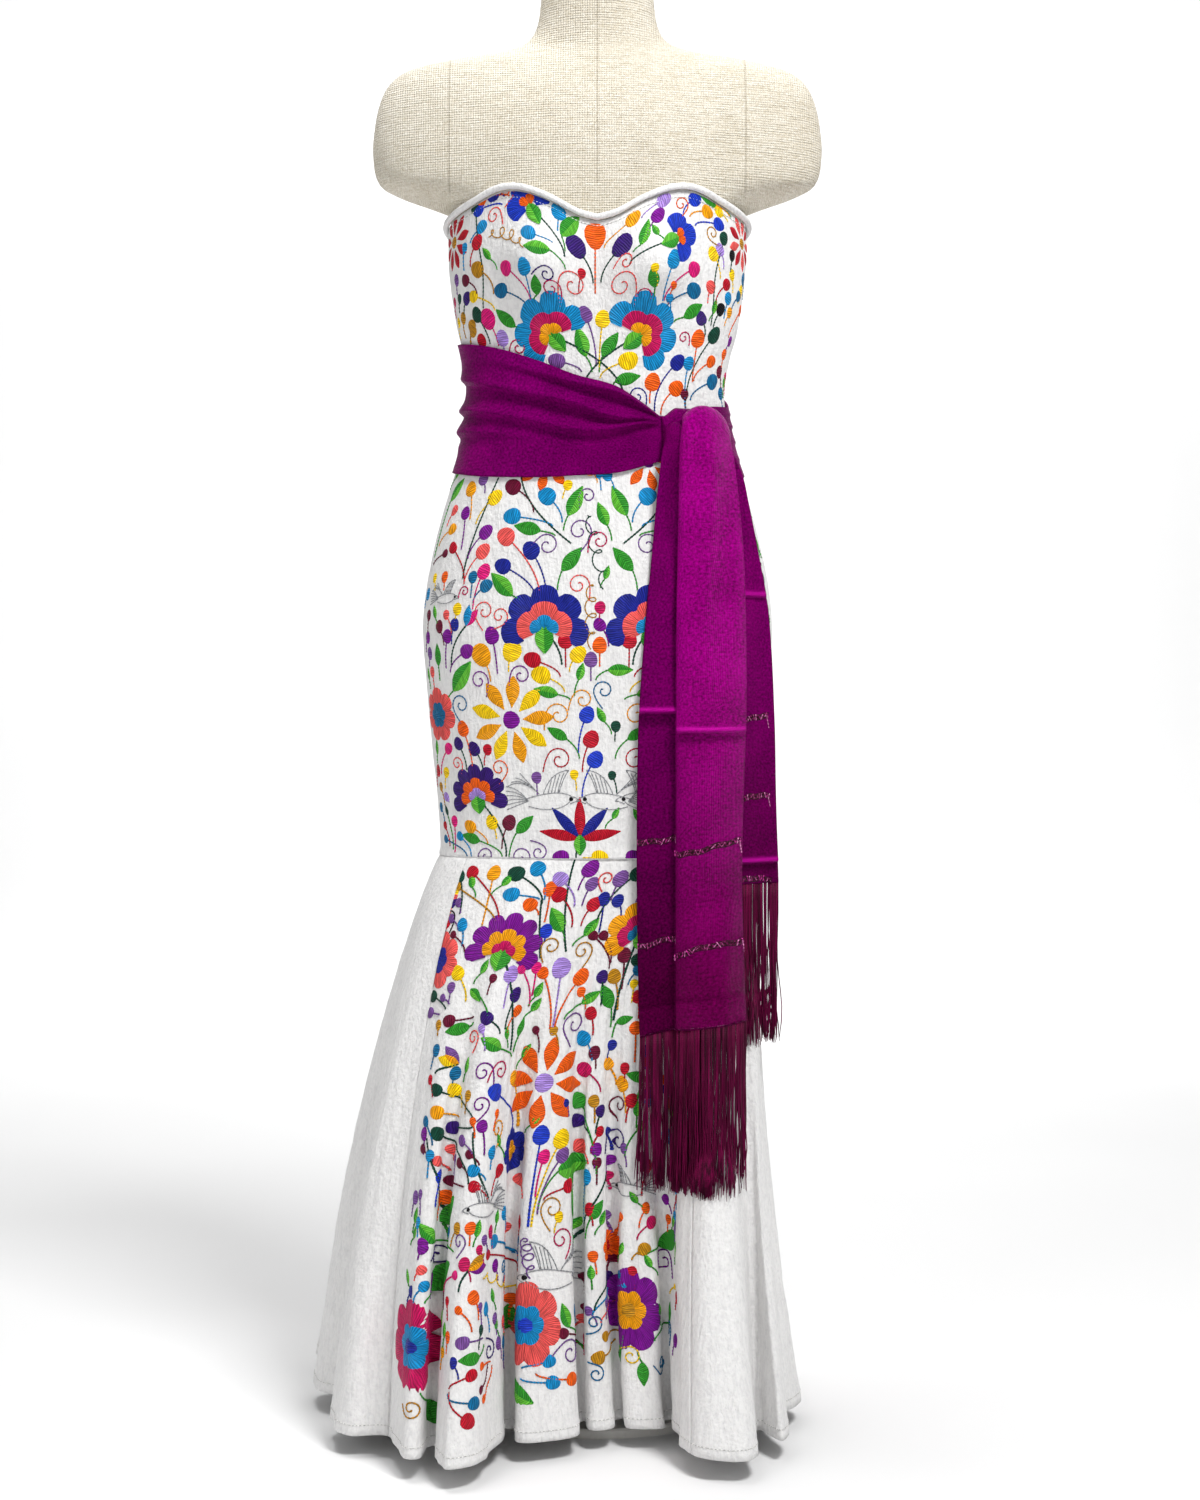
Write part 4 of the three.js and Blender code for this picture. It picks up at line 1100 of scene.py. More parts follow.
def on_cloth(panel, anchor_share, anchor_height, x, z, lift):
    """Point of the cloth x along and z up from an anchor: share = anchor + x / width there, height =
    anchor + z / (cloth length per unit of height), then lift along the normal."""
    points, heights = panel["points"], panel["heights"]
    rows, columns = points.shape[:2]
    stretch = np.linalg.norm(np.gradient(points, axis=0), axis=-1) / np.gradient(heights)[:, None]
    at_row = np.interp(anchor_height, heights, np.arange(rows))
    per_unit = sampled(stretch[..., None], at_row, anchor_share * (columns - 1))[:, 0]
    share = np.clip(anchor_share + x / np.interp(anchor_height, heights, panel["widths"]), 0.003, 0.997)
    height = np.clip(anchor_height + z / per_unit, heights[0] + 1, heights[-1] - 1)
    row, column = np.interp(height, heights, np.arange(rows)), share * (columns - 1)
    normal = sampled(panel["normals"], row, column)
    normal /= np.linalg.norm(normal, axis=1, keepdims=True)
    return sampled(points, row, column) + normal * lift[:, None]


def embroider(name, panel, patches, material, raised=0.0):
    """One mesh from many patches: faces of every grid, the carried points, texture and colour. On
    sharply bent cloth everything is raised a little, so that no chord dips under the surface."""
    places, faces, anchors, count = [], [], [], 0
    for shape, share, height in patches:
        rows, columns = shape.shape[:2]
        flat = shape[..., :2]
        turn = np.cross(np.diff(flat[:, :-1], axis=0), np.diff(flat[:-1], axis=1)).sum()
        shape = shape if turn < 0 else shape[:, ::-1]
        faces.append(grid_faces(rows, columns, first=count))
        places.append(shape.reshape(-1, 8))
        anchors.append(np.repeat([[share, height]], rows * columns, axis=0))
        count += rows * columns
    places, anchors = np.concatenate(places), np.concatenate(anchors)
    points = on_cloth(panel, anchors[:, 0], anchors[:, 1], places[:, 0], places[:, 1], places[:, 2] + raised)
    piece = new_mesh(name, points, np.concatenate(faces), places[:, 3:5] * MM, places[:, 5:8])
    piece.data.materials.append(material)
    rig.ride(piece, "root")
    print(name, len(patches), "patches", 2 * len(piece.data.polygons), "triangles")
    return piece


# %% Thread finish
def thread_material(name="embroidery floss"):
    """Glossy cotton floss: the colour of each motif, varied in tone stitch by stitch and darker in the grooves between
    stitches as painted shade, with fine ridges.
    """
    material, tree, shader = new_material(name, Roughness=0.5, Specular_IOR_Level=0.18)
    place = node(tree, "ShaderNodeTexCoord").outputs["UV"]
    stitches = use_group(tree, STITCHES, place, Stitches_per_metre=470.0)
    colour = node(tree, "ShaderNodeVertexColor", layer_name="thread").outputs["Color"]
    light = calc(tree, "MULTIPLY_ADD", stitches.outputs["Shade"], 2.0, 0.0)
    # painted shade: the colour darkens where the stitch height is low, between the stitches
    light = calc(tree, "MULTIPLY", light, calc(tree, "MULTIPLY_ADD", stitches.outputs["Height"], 0.55, 0.62))
    shaded = node(tree, "ShaderNodeVectorMath", {0: colour, "Scale": light}, operation="SCALE")
    tree.links.new(shaded.outputs[0], shader.inputs["Base Color"])
    bump(tree, shader, stitches.outputs["Height"], 0.9, 0.0009)
    return material


floss = thread_material()


# %% Bodice motifs
BODICE_BALLS = """
0.234 1208 6.5 nv 12 -5, 0.180 1208 7.0 dg 3 -91, 0.198 1208 5.6 or 31 -5, 0.189 1203 6.2 rb 27 -5,
0.198 1189 5.8 tq -15 -10, 0.180 1179 6.5 rd -12 -19, 0.135 1179 4.7 tq -4 -19, 0.405 1203 7.9 tq 0 -19,
0.333 1179 7.6 tq 24 -5, 0.450 1179 9.4 dp 16 -29, 0.495 1193 10.1 or 0 -49, 0.261 1154 7.0 pk 28 -29,
0.324 1154 7.4 tq 4 -34, 0.243 1140 7.0 tl 30 -19, 0.171 1159 7.4 gd 20 -24, 0.126 1154 5.6 wn 16 -15,
0.126 1140 5.8 dp -7 -15, 0.153 1140 5.6 yl 26 -15, 0.162 1125 6.7 dg 10 -29, 0.198 1120 8.3 pk 7 -24,
0.099 1125 5.1 gd -3 -19, 0.135 1116 5.8 gd -7 -15, 0.234 1101 6.7 li 0 -19, 0.162 1101 5.8 rd 0 -19,
0.586 1198 7.0 am -27 -19, 0.559 1179 9.4 dp -20 -29, 0.667 1203 6.7 li -23 -10, 0.649 1193 7.0 pu -12 -19,
0.748 1203 6.3 rb -12 -15, 0.784 1198 6.1 am -19 -10, 0.820 1203 5.2 yl 12 -5, 0.820 1208 4.7 am 15 -5,
0.820 1193 6.1 rb -27 -10, 0.685 1159 7.9 tq -8 -34, 0.757 1154 7.1 pk -35 -29, 0.757 1140 7.6 tl -30 -19,
0.811 1169 6.2 yl 12 -19, 0.829 1174 5.4 li 8 -15, 0.838 1184 5.6 dg -8 -78, 0.874 1174 4.7 bk 0 -15,
0.811 1145 5.6 co -4 -15, 0.865 1150 5.4 rd -15 -19, 0.883 1159 4.7 yl 4 -15, 0.874 1140 5.4 tq -4 -19,
0.928 1145 5.4 tl -15 -19, 0.964 1135 5.4 or -22 -29, 0.784 1120 5.8 dp 7 -15, 0.847 1130 5.6 bk -7 -19,
0.468 1120 6.8 mv 10 -44, 0.514 1116 7.0 yl -3 -44, 0.586 1077 8.2 yl -25 -15, 0.387 1077 7.0 mv 22 -10,
0.658 1057 7.4 or -3 -19, 0.730 1077 7.0 nv -22 -44, 0.766 1077 5.7 tq -3 -44, 0.730 1052 7.0 or -16 -24,
0.784 1101 7.4 or 0 -39, 0.838 1106 7.4 dg -27 -73, 0.847 1081 5.7 or -19 -19, 0.865 1062 7.4 tl -28 -19,
0.757 1047 4.5 wn 0 -15, 0.135 1111 5.3 gd -10 -15"""
BODICE_LEAVES = """
0.414 1184 29 33 lg 4 -15, 0.387 1169 24 -90 lg 16 -15, 0.351 1135 19 0 gr -4 -5,
0.279 1111 22 -49 gr 10 -5, 0.604 1174 21 22 lg -8 -5, 0.820 1208 23 -90 lg 19 -5,
0.640 1140 20 -11 gr 0 -15, 0.730 1120 20 60 gr -10 -5, 0.468 1081 25 -15 lg 6 -15,
0.514 1081 23 33 gr -3 -15, 0.550 1057 22 77 gr -3 -10"""
BODICE_CURLS = """
0.234 1193 7.4 200 1 co, 0.270 1208 7.9 150 1 or, 0.378 1150 7.4 120 -1 dp, 0.387 1140 8.4 190 1 cr,
0.441 1145 12.9 170 -1 co, 0.712 1198 7.0 150 1 or, 0.802 1184 6.7 250 -1 gd, 0.568 1164 7.0 130 -1 co,
0.559 1145 12.6 190 1 co, 0.613 1135 7.4 160 1 cr, 0.739 1101 5.3 200 1 cr, 0.613 1043 8.2 180 1 nv,
0.279 1091 7.4 150 -1 cr"""
BODICE_LOOPS = """
0.216 1179 47 -15 gd"""
BODICE_FLOWERS = """
fan3 0.333 1198 28 -38 rb rb or lg 38 -44, daisy 0.090 1189 28 0 rd rd gd gd 0 0,
fan5 0.378 1101 39 -40 tq cr am gr 73 -63, fan3 0.694 1174 28 75 rb rb or lg -51 -19,
daisy 0.919 1189 27 0 rd co gd gd 0 0, fan5 0.613 1101 39 50 tq cr am gr -60 -63"""

# %% Skirt motifs
SKIRT_BALLS = """
0.162 955 6.7 am 7 -29, 0.243 945 7.0 yl -15 -24, 0.288 955 7.3 wn 22 -24, 0.162 931 5.7 pu 4 -34,
0.117 935 4.8 co -7 -15, 0.126 916 5.4 am -19 -15, 0.234 911 6.7 pu -15 -24, 0.144 897 5.4 rd 20 -34,
0.117 892 4.1 wn -20 -10, 0.234 892 7.0 co -16 -29, 0.297 926 7.6 tq 38 -10, 0.288 906 8.2 co 35 -58,
0.351 892 7.9 nv 16 -44, 0.288 877 7.3 nv 32 -29, 0.243 872 6.7 pk -8 -34, 0.216 867 5.1 tl 0 -19,
0.252 858 6.0 tl -12 -15, 0.378 945 7.9 tq 15 -24, 0.541 945 7.9 tq 0 -34, 0.153 809 6.0 pu -4 -29,
0.207 794 6.7 pu -21 -19, 0.243 790 9.8 am 8 -24, 0.270 809 7.3 pu 4 -34, 0.315 794 9.2 yl -4 -19,
0.360 785 7.3 rd 25 -15, 0.432 804 7.0 rd 0 -24, 0.459 790 7.3 yl -8 -15, 0.505 819 5.7 pu 8 -19,
0.505 799 6.7 or 0 -19, 0.486 785 6.3 mv 0 -19, 0.568 790 6.3 or -21 -10, 0.604 790 6.7 dp 0 -10,
0.378 770 8.2 yl 21 -15, 0.477 731 7.0 rb -8 -34, 0.486 707 7.3 rd -8 -29, 0.495 687 7.3 rb -12 -34,
0.180 717 6.7 or 8 -39, 0.162 702 5.7 dp 8 -24, 0.207 697 6.3 dp 8 -19, 0.126 697 5.4 pk -16 -24,
0.108 673 4.8 yl -4 -15, 0.099 648 4.4 li 4 -5, 0.243 624 6.3 yl 4 -15, 0.288 624 6.7 wn -8 -24,
0.180 619 6.3 am 19 -15, 0.126 624 4.8 pk 0 -29, 0.081 619 3.8 rd 8 -19, 0.144 609 4.4 tq 15 -19,
0.081 605 4.1 tl 34 -15, 0.414 590 7.0 pu 4 0, 0.505 590 7.0 yl -15 0"""
SKIRT_LEAVES = """
0.432 926 27 25 lg -4 -15, 0.369 911 24 -78 gr 15 -5, 0.523 916 21 -22 lg 4 -15, 0.423 872 25 40 gr -4 -19,
0.315 848 28 -47 lg 12 -10, 0.081 945 24 37 lg -7 -58, 0.117 780 19 0 gr 0 -15, 0.162 755 32 40 lg -12 -15,
0.459 765 15 16 lg -4 -15, 0.414 751 21 -77 lg 12 -5, 0.523 775 21 90 lg -12 -10,
0.432 707 19 -59 gr 12 -19, 0.306 614 21 46 gr -8 -24, 0.099 629 10 -21 dg 8 -34,
0.207 605 20 -76 gr 26 -15"""
SKIRT_CURLS = """
0.477 945 7.0 170 -1 mv, 0.459 911 10.5 160 1 mv, 0.387 897 9.8 130 -1 mv, 0.505 901 8.2 160 -1 cr,
0.459 858 9.5 190 1 co, 0.252 833 9.5 200 -1 co, 0.288 828 8.2 120 1 co, 0.198 853 4.8 160 -1 cr,
0.234 765 8.9 180 1 pu, 0.333 770 8.9 160 -1 pu, 0.468 746 8.9 150 -1 am, 0.514 755 8.9 200 -1 tl,
0.577 765 7.9 180 -1 pu, 0.180 741 9.5 200 -1 tl, 0.414 731 10.5 160 -1 am, 0.414 687 10.5 150 -1 rd,
0.153 682 6.3 180 1 co, 0.270 678 8.2 150 1 or, 0.225 590 7.9 180 -1 mv, 0.315 590 9.8 120 1 mv,
0.360 595 7.3 60 -1 mv, 0.550 595 8.2 180 -1 dp"""
SKIRT_LOOPS = """
0.477 926 15 -73 dg, 0.486 858 0 -63 gd"""
SKIRT_STEMS = """
0.243 965 -21 -102 6 dg, 0.306 965 53 -68 6 dg, 0.586 965 -21 -73 -5 dg"""
SKIRT_DOVES = """
0.144 848 24 90, 0.387 648 40 90, 0.523 648 40 -90"""
SKIRT_FLOWERS = """
orange 0.369 979 30 180 or or pu pu 0 0, orange 0.577 979 30 180 or or pu pu 0 0,
fan5 0.387 814 45 0 nv co tq gr 17 -34, fan5 0.568 814 45 4 nv co tq gr -25 -34,
bud 0.207 819 21 25 tq pk tq pk -21 -39, daisy 0.306 726 44 0 yl am pu pu 0 0,
daisy 0.568 721 40 0 am am pu pu 0 0, coral 0.099 731 28 0 co co tl tl 0 0,
fan7 0.207 648 35 -5 dp or li gr 31 -58, lily 0.459 609 41 0 rd nv rd lg -4 -19"""

# %% Flounce motifs
FLOUNCE_BALLS = """
0.000 569 5.6 dg 13 -36, 0.053 574 6.3 rd 43 -56, 0.148 574 6.7 am 3 -53, 0.238 574 7.4 dg 31 -31,
0.312 579 7.0 tq 14 -31, 0.243 554 7.0 tq 27 -5, 0.381 559 6.3 or 3 -31, 0.323 544 6.3 or 10 -10,
0.418 554 7.0 rd 19 -31, 0.407 569 6.7 li 19 -26, 0.000 559 5.2 gd 56 -41, 0.000 554 4.1 yl 0 -15,
0.000 549 4.1 co 0 -31, 0.000 544 4.8 dp 0 -31, 0.000 523 4.1 rd 0 -20, 0.032 544 4.4 mv 6 -10,
0.016 528 4.4 mv 13 -10, 0.079 523 5.9 tq 6 -20, 0.048 513 3.7 wn 18 -15, 0.111 477 6.7 yl 13 -26,
0.312 477 7.0 li -2 -31, 0.344 457 6.3 dp -6 -31, 0.349 482 4.8 pk 17 -36, 0.407 482 4.8 pk 2 -26,
0.434 477 5.2 or 16 -51, 0.365 441 5.2 or -10 -20, 0.407 518 5.9 rb 1 -10, 0.508 579 7.4 pu -6 -20,
0.529 564 5.9 mv -4 -20, 0.556 544 6.3 rd -7 -20, 0.587 549 5.9 nv 3 -31, 0.630 569 7.0 mv -4 -20,
0.688 574 6.7 dg -26 -46, 0.582 513 4.4 wn 21 -31, 0.619 513 4.4 wn 12 -26, 0.492 482 8.5 li 3 -61,
0.571 472 7.4 or -17 -46, 0.709 493 6.3 wn 3 -31, 0.688 472 6.3 gd 8 -31, 0.646 472 5.6 dp 3 -26,
0.630 436 5.6 rd 5 -20, 0.619 411 6.7 tq 11 -20, 0.778 452 5.6 rd 3 -20, 0.783 421 5.6 or 2 -31,
0.254 436 6.3 dp 15 -15, 0.011 452 5.6 dg 23 -10, 0.011 436 5.2 mv 18 0, 0.069 452 3.7 mv 10 -5,
0.116 431 5.9 wn 24 5, 0.074 426 4.4 gd 2 -10, 0.243 426 4.1 li 7 -20, 0.450 421 3.7 wn 7 -20,
0.111 365 5.9 dg 51 -26, 0.164 365 6.3 yl 14 -15, 0.122 344 6.3 am 23 -5, 0.085 334 4.8 tl 13 -20,
0.132 324 6.3 dg 50 -41, 0.175 329 5.9 dp 32 5, 0.228 319 5.2 mv 15 -10, 0.116 303 4.8 tq 0 -20,
0.085 308 4.4 wn 16 -10, 0.175 308 4.1 co 2 -10, 0.138 298 4.8 co 14 -10, 0.228 298 4.8 wn 14 -10,
0.148 283 5.9 rb -5 -26, 0.180 278 5.2 wn 31 0, 0.169 262 5.9 or -5 -20, 0.116 221 4.8 pu 0 -10,
0.317 365 7.8 rb 37 -41, 0.397 375 6.7 am 15 -46, 0.286 334 5.2 pu 4 -26, 0.259 339 3.7 or 4 -15,
0.323 308 5.6 tq -2 -15, 0.275 293 5.6 tq 12 -10, 0.365 288 5.9 rd -14 -20, 0.280 278 5.2 rd 14 -15,
0.259 308 4.1 wn 11 -10, 0.471 232 6.3 rd -3 -31, 0.360 221 6.3 tq 44 -20, 0.460 273 5.6 co 10 -15,
0.635 380 6.7 cr 17 -20, 0.624 349 7.0 gr 22 -66, 0.672 349 5.2 gd 2 -20, 0.693 339 5.2 dp -4 -20,
0.693 319 4.4 rd -7 -20, 0.624 329 6.3 dp 17 -15, 0.513 319 7.8 rb -4 -82, 0.524 298 5.9 pk -5 -36,
0.566 314 8.1 yl -22 -77, 0.571 298 6.7 mv -21 -51, 0.640 303 6.3 co 11 -15, 0.593 267 6.7 rd -27 -10,
0.661 273 6.7 tq -5 -46, 0.688 288 4.4 wn 0 -20, 0.709 385 5.6 am 9 -20, 0.757 365 6.7 am 6 -26,
0.788 349 5.9 rd -4 -20, 0.831 283 5.9 rd -7 -26, 0.730 232 4.8 mv 5 -20, 0.767 232 4.4 or -11 -20,
0.836 227 5.9 cr -16 -15, 0.815 201 5.9 gd -6 -5, 0.116 216 4.7 pu -3 -10, 0.116 196 4.2 co -6 -10,
0.122 181 4.7 tq -9 -15, 0.291 175 5.9 or 6 -20, 0.307 165 3.8 mv 3 -20, 0.333 160 5.9 tq 8 -22,
0.265 165 3.8 or 13 -20, 0.333 211 4.7 rd 65 -26, 0.360 221 5.5 tq 50 -26, 0.275 135 5.9 mv 24 0,
0.291 104 5.5 rd -22 -10, 0.312 88 3.8 wn 20 18, 0.323 78 3.8 or 22 24, 0.296 78 5.9 tl -30 10,
0.286 63 6.8 rd -20 26, 0.317 109 3.8 or 21 -1, 0.545 99 5.9 tq -25 -5, 0.550 78 6.3 tq -30 5,
0.582 78 6.3 or -38 10, 0.571 124 5.1 wn 41 -20, 0.651 140 4.7 wn -3 -36, 0.730 170 5.5 dp -25 -26,
0.704 114 5.1 gd 25 0, 0.688 94 6.3 gd 33 10, 0.746 145 3.8 co -30 -15, 0.778 165 4.2 tq -53 -26,
0.741 124 3.8 bk 21 0, 0.815 201 5.1 gd -12 -10, 0.249 196 4.2 pk -23 -20, 0.905 165 3.0 yl -16 -10"""
FLOUNCE_LEAVES = """
0.466 518 25 -36 lg 4 -10, 0.550 513 18 30 lg -10 -10, 0.593 446 18 55 lg -18 -15,
0.698 441 24 -33 gr 2 -20, 0.720 426 15 70 gr -2 -15, 0.169 462 16 129 lg 27 -26, 0.185 426 21 -104 gr 5 5,
0.386 416 16 19 gr -3 -15, 0.317 406 22 -63 lg 18 -10, 0.169 237 33 40 gr 3 -15, 0.143 221 23 -47 lg 50 -5,
0.561 283 41 83 lg -19 -36, 0.624 232 26 -12 lg 3 -26, 0.677 232 19 35 gr -5 -20,
0.825 370 18 -74 gr -8 -20, 0.804 319 15 47 lg -11 -26, 0.857 201 33 62 gr -20 -5,
0.153 175 45 55 gr -18 -10, 0.450 124 20 0 gr -24 0, 0.307 119 21 -90 gr 10 10, 0.471 78 34 117 lg -11 5,
0.582 129 22 -18 lg 41 -36, 0.772 135 15 0 gr -13 -15, 0.746 83 23 29 gr 19 31, 0.799 88 20 180 gr -4 10,
0.873 124 19 6 gr -34 -15, 0.159 68 21 169 gr -31 15"""
FLOUNCE_CURLS = """
0.000 528 8.1 180 1 bk, 0.439 503 8.5 190 -1 gd, 0.556 498 8.9 170 1 gd, 0.577 569 6.7 200 -1 co,
0.577 426 11.5 200 -1 mv, 0.212 416 7.4 170 1 co, 0.254 227 7.8 150 1 mv, 0.270 385 8.9 200 1 pu,
0.328 385 8.9 150 -1 cr, 0.275 354 8.1 150 1 pu, 0.339 329 8.9 160 1 am, 0.550 247 11.1 200 -1 gd,
0.571 216 10.4 170 1 cr, 0.751 344 8.5 200 -1 wn, 0.751 308 10.4 150 -1 dp, 0.164 206 8.9 120 -1 dp,
0.185 170 9.3 210 1 wn, 0.402 191 7.2 160 1 tl, 0.349 119 8.5 60 -1 dp, 0.429 94 8.9 180 1 mv,
0.582 104 11.8 120 -1 mv, 0.683 129 7.2 120 1 tl, 0.683 78 7.2 60 -1 tl, 0.862 186 10.6 200 1 pu,
0.873 119 8.5 180 1 tl, 0.841 83 9.3 60 1 tl, 0.783 94 8.5 100 -1 yl, 0.106 68 8.0 60 1 gd"""
FLOUNCE_LOOPS = """
0.312 191 92 -36 yl, 0.497 216 8 -36 mv"""
FLOUNCE_STEMS = """
0.439 590 15 -102 4 dg, 0.360 549 14 -61 0 dg, 0.101 319 37 -102 -6 dg, 0.265 329 21 -66 4 dg,
0.720 278 -43 -82 6 dg"""
FLOUNCE_DOVES = """
0.312 257 35 -100, 0.783 262 31 -90, 0.550 181 49 -90"""
FLOUNCE_FLOWERS = """
fan7 0.265 498 42 8 pu am cr gr 27 -102, coral 0.000 487 30 0 co co nv nv 0 0,
fan5 0.746 513 35 -20 am cr tl dg -10 -87, orange 0.503 370 46 0 or or li li 0 0,
bud 0.169 390 24 -60 yl mv am mv -24 -10, coral 0.424 303 23 0 nv nv am am 0 0,
coral 0.728 201 17 20 or mv rd pu 0 0, coral 0.096 124 45 0 cr cr tq nv 0 0,
coral 0.508 135 43 0 co co tq rb 0 0, coral 0.783 140 43 0 pu pu am gd 0 0,
bud 0.280 201 23 70 gd pu am pu -9 -20"""
FLOUNCE_WIDTHS = {0.096: 1.22, 0.424: 0.84, 0.508: 0.88, 0.728: 0.84, 0.783: 0.86}

# %% Small sprigs between the motifs
def sprigs(panel, patches, low, high, edge, seed, room=8.5):
    """Buds and leaves where the cloth is still bare: seeded places are tried in turn, and one is
    kept when no stitch and no earlier sprig lies within the room it needs, in millimetres."""
    rng = np.random.default_rng(seed)
    taken = np.concatenate([
        np.stack([share * np.interp(height, panel["heights"], panel["widths"]) + shape[::2, ::2, 0].ravel(),
                  height + shape[::2, ::2, 1].ravel()], axis=1)
        for shape, share, height in patches
    ])
    made, names = [], ["rd", "tq", "gd", "pu", "or", "dg", "nv", "yl", "co", "wn", "tl", "am", "cr", "mv"]
    for share, height in zip(rng.uniform(edge, 1 - edge, 1400), rng.uniform(low, high, 1400)):
        width = np.interp(height, panel["heights"], panel["widths"])
        place = np.array([share * width, height])
        if np.hypot(*(taken - place).T).min() < room:
            continue
        lean, long = rng.uniform(-9, 9), rng.uniform(13, 20)
        if rng.uniform() < 0.3:
            blade = facing(leaf(rng.uniform(13, 17), GREENS["lg"]), lean * 4)
            shapes = [stem(fountain(-lean, -long * 0.6), THREADS["gr"], 0.95)] + blade
        else:
            colour = names[rng.integers(len(names))]
            shapes = [stem(fountain(lean, -long), THREADS[colour], 0.95),
                      pad(rng.uniform(4.2, 6.4), 1.15, THREADS[colour])]
        made += [(shape, share, height) for shape in shapes]
        near = place + np.array([[0, 0], [lean / 2, -long / 2], [lean, -long]])
        taken = np.concatenate([taken, near, near + [0, 6]])
    print("sprigs:", len(made), "patches")
    return made


# %% Embroider the front
def tables_of(prefix):
    """The tables of one piece, found by the first word of their names."""
    kinds = ("BALLS", "LEAVES", "CURLS", "LOOPS", "STEMS", "DOVES", "FLOWERS", "WIDTHS")
    return {kind: globals().get(f"{prefix}_{kind}", "") for kind in kinds}


def mirrored(patches):
    """The other half of a symmetric design: shares and sideways places change sign."""
    flip = np.array([-1, 1, 1, 1, 1, 1, 1, 1])
    return [(shape * flip, 1 - share, height) for shape, share, height in patches]


bodice, skirt, flounce = (stitched(tables_of(prefix)) for prefix in ("BODICE", "SKIRT", "FLOUNCE"))
left_half = [item for item in skirt if item[1] < 0.44]
skirt_all = [item for item in skirt if item[1] < 0.53] + mirrored(left_half)
bodice += sprigs(PANELS["dress_front"], bodice + skirt_all, 1050, 1192, 0.05, 71, 7.5)
skirt_all += sprigs(PANELS["dress_front"], skirt_all + bodice, 606, 985, 0.06, 72)
flounce += sprigs(PANELS["flounce_front"], flounce, 110, 575, 0.07, 73, 7.0)
embroider("embroidery_bodice", PANELS["dress_front"], bodice, floss)
embroider("embroidery_skirt", PANELS["dress_front"], skirt_all, floss)
embroider("embroidery_flounce", PANELS["flounce_front"], flounce, floss, 0.4)
print("front motifs:", len(bodice), "on the bodice,", len(skirt_all), "on the skirt,", len(flounce), "below")

# %% Embroider the back
def half_of(patches, first):
    """The part of a design that falls on one of the two back panels, clear of the middle seam."""
    low, high = (0.03, 0.46) if first else (0.54, 0.97)
    return [(shape, (share if first else share - 0.5) * 2, height)
            for shape, share, height in patches if low < share < high]


for first, side in ((True, "right"), (False, "left")):
    fitted = [item for item in skirt_all + bodice if item[2] < 1180]
    embroider(f"embroidery_back_{side}", PANELS[f"dress_back_{side}"], half_of(fitted, first), floss)
    embroider(f"embroidery_flounce_back_{side}", PANELS[f"flounce_back_{side}"],
              half_of(flounce, first), floss, 0.4)

# %% Stitching on the hem and below the binding
def sewing_line(panel, height):
    """Small white stitches across a panel at one height, as patches 60 mm long."""
    width = float(np.interp(height, panel["heights"], panel["widths"]))
    count = max(int(width / 60), 1)
    run = width / count
    line = np.stack([np.linspace(-run / 2, run / 2, 24), np.zeros(24)], axis=1)
    stitches = shifted(stem(line, THREADS["wh"], 0.45), lift=0.1)
    return [(stitches, (i + 0.5) / count, height) for i in range(count)]


for name, panel in PANELS.items():
    height = HEM + HEM_BAND - 3 if "flounce" in name else NECKLINE - 5
    embroider(name + "_stitching", panel, sewing_line(panel, height), floss)

# %% [markdown]
# ## The sash
# One long strip of ribbed satin goes round the waist and is knotted at the wearer's left. Where it
# is drawn into the knot it gathers in a few folds that run together. Each fold is a row of a table:
# where its ridge lies between the lower edge (0) and the upper edge (1) at each angle.

# %% The sash round the waist
SASH_CLOTH, SASH_CLEARANCE = 1.6, 1.3
SASH_START, SASH_END = 36, -297
SASH_EDGES = table("angle top bottom", [
    (-297, 1036, 976), (-270, 1044, 972), (-235, 1078, 970), (-180, 1106, 972), (-120, 1110, 976),
    (-90, 1104, 976), (-60, 1094, 967), (-35, 1078, 964), (-13, 1063, 965), (12, 1051, 968),
    (36, 1024, 980),
])
SASH_RIDGES = table("angle a b c d high_a high_b high_c high_d", [
    (-297, 0.88, 0.72, 0.50, 0.24, 1.5, 1.8, 1.5, 1.0),
    (-265, 0.88, 0.70, 0.48, 0.24, 1.5, 1.8, 1.5, 1.0),
    (-235, 0.85, 0.64, 0.42, 0.20, 2.5, 3.0, 3.0, 2.0),
    (-180, 0.85, 0.60, 0.38, 0.18, 2.0, 3.0, 3.0, 2.0),
    (-120, 0.87, 0.70, 0.44, 0.26, 1.0, 4.0, 5.0, 4.0),
    (-90, 0.88, 0.73, 0.48, 0.31, 1.0, 5.0, 6.0, 5.0),
    (-60, 0.89, 0.71, 0.50, 0.35, 2.0, 8.0, 7.5, 4.0),
    (-38, 0.90, 0.71, 0.49, 0.34, 4.5, 10.4, 8.5, 2.0),
    (-13, 0.92, 0.715, 0.46, 0.30, 8.5, 12.0, 9.5, 1.0),
    (12, 0.93, 0.64, 0.52, 0.28, 10.5, 11.5, 9.0, 0.8),
    (36, 0.95, 0.85, 0.80, 0.30, 4.6, 5.0, 5.0, 0.8),
])
RIDGE_WIDTH, RIDGE_ROUND = 0.034, 0.011


def fold_profile(distance):
    """A ridge with one steep side: exp(-distance) with a rounded top above it, a bell below it."""
    above = np.exp(-(np.sqrt(distance ** 2 + RIDGE_ROUND ** 2) - RIDGE_ROUND) / (RIDGE_WIDTH * 2.2))
    return np.where(distance > 0, above, bell(distance, RIDGE_WIDTH))


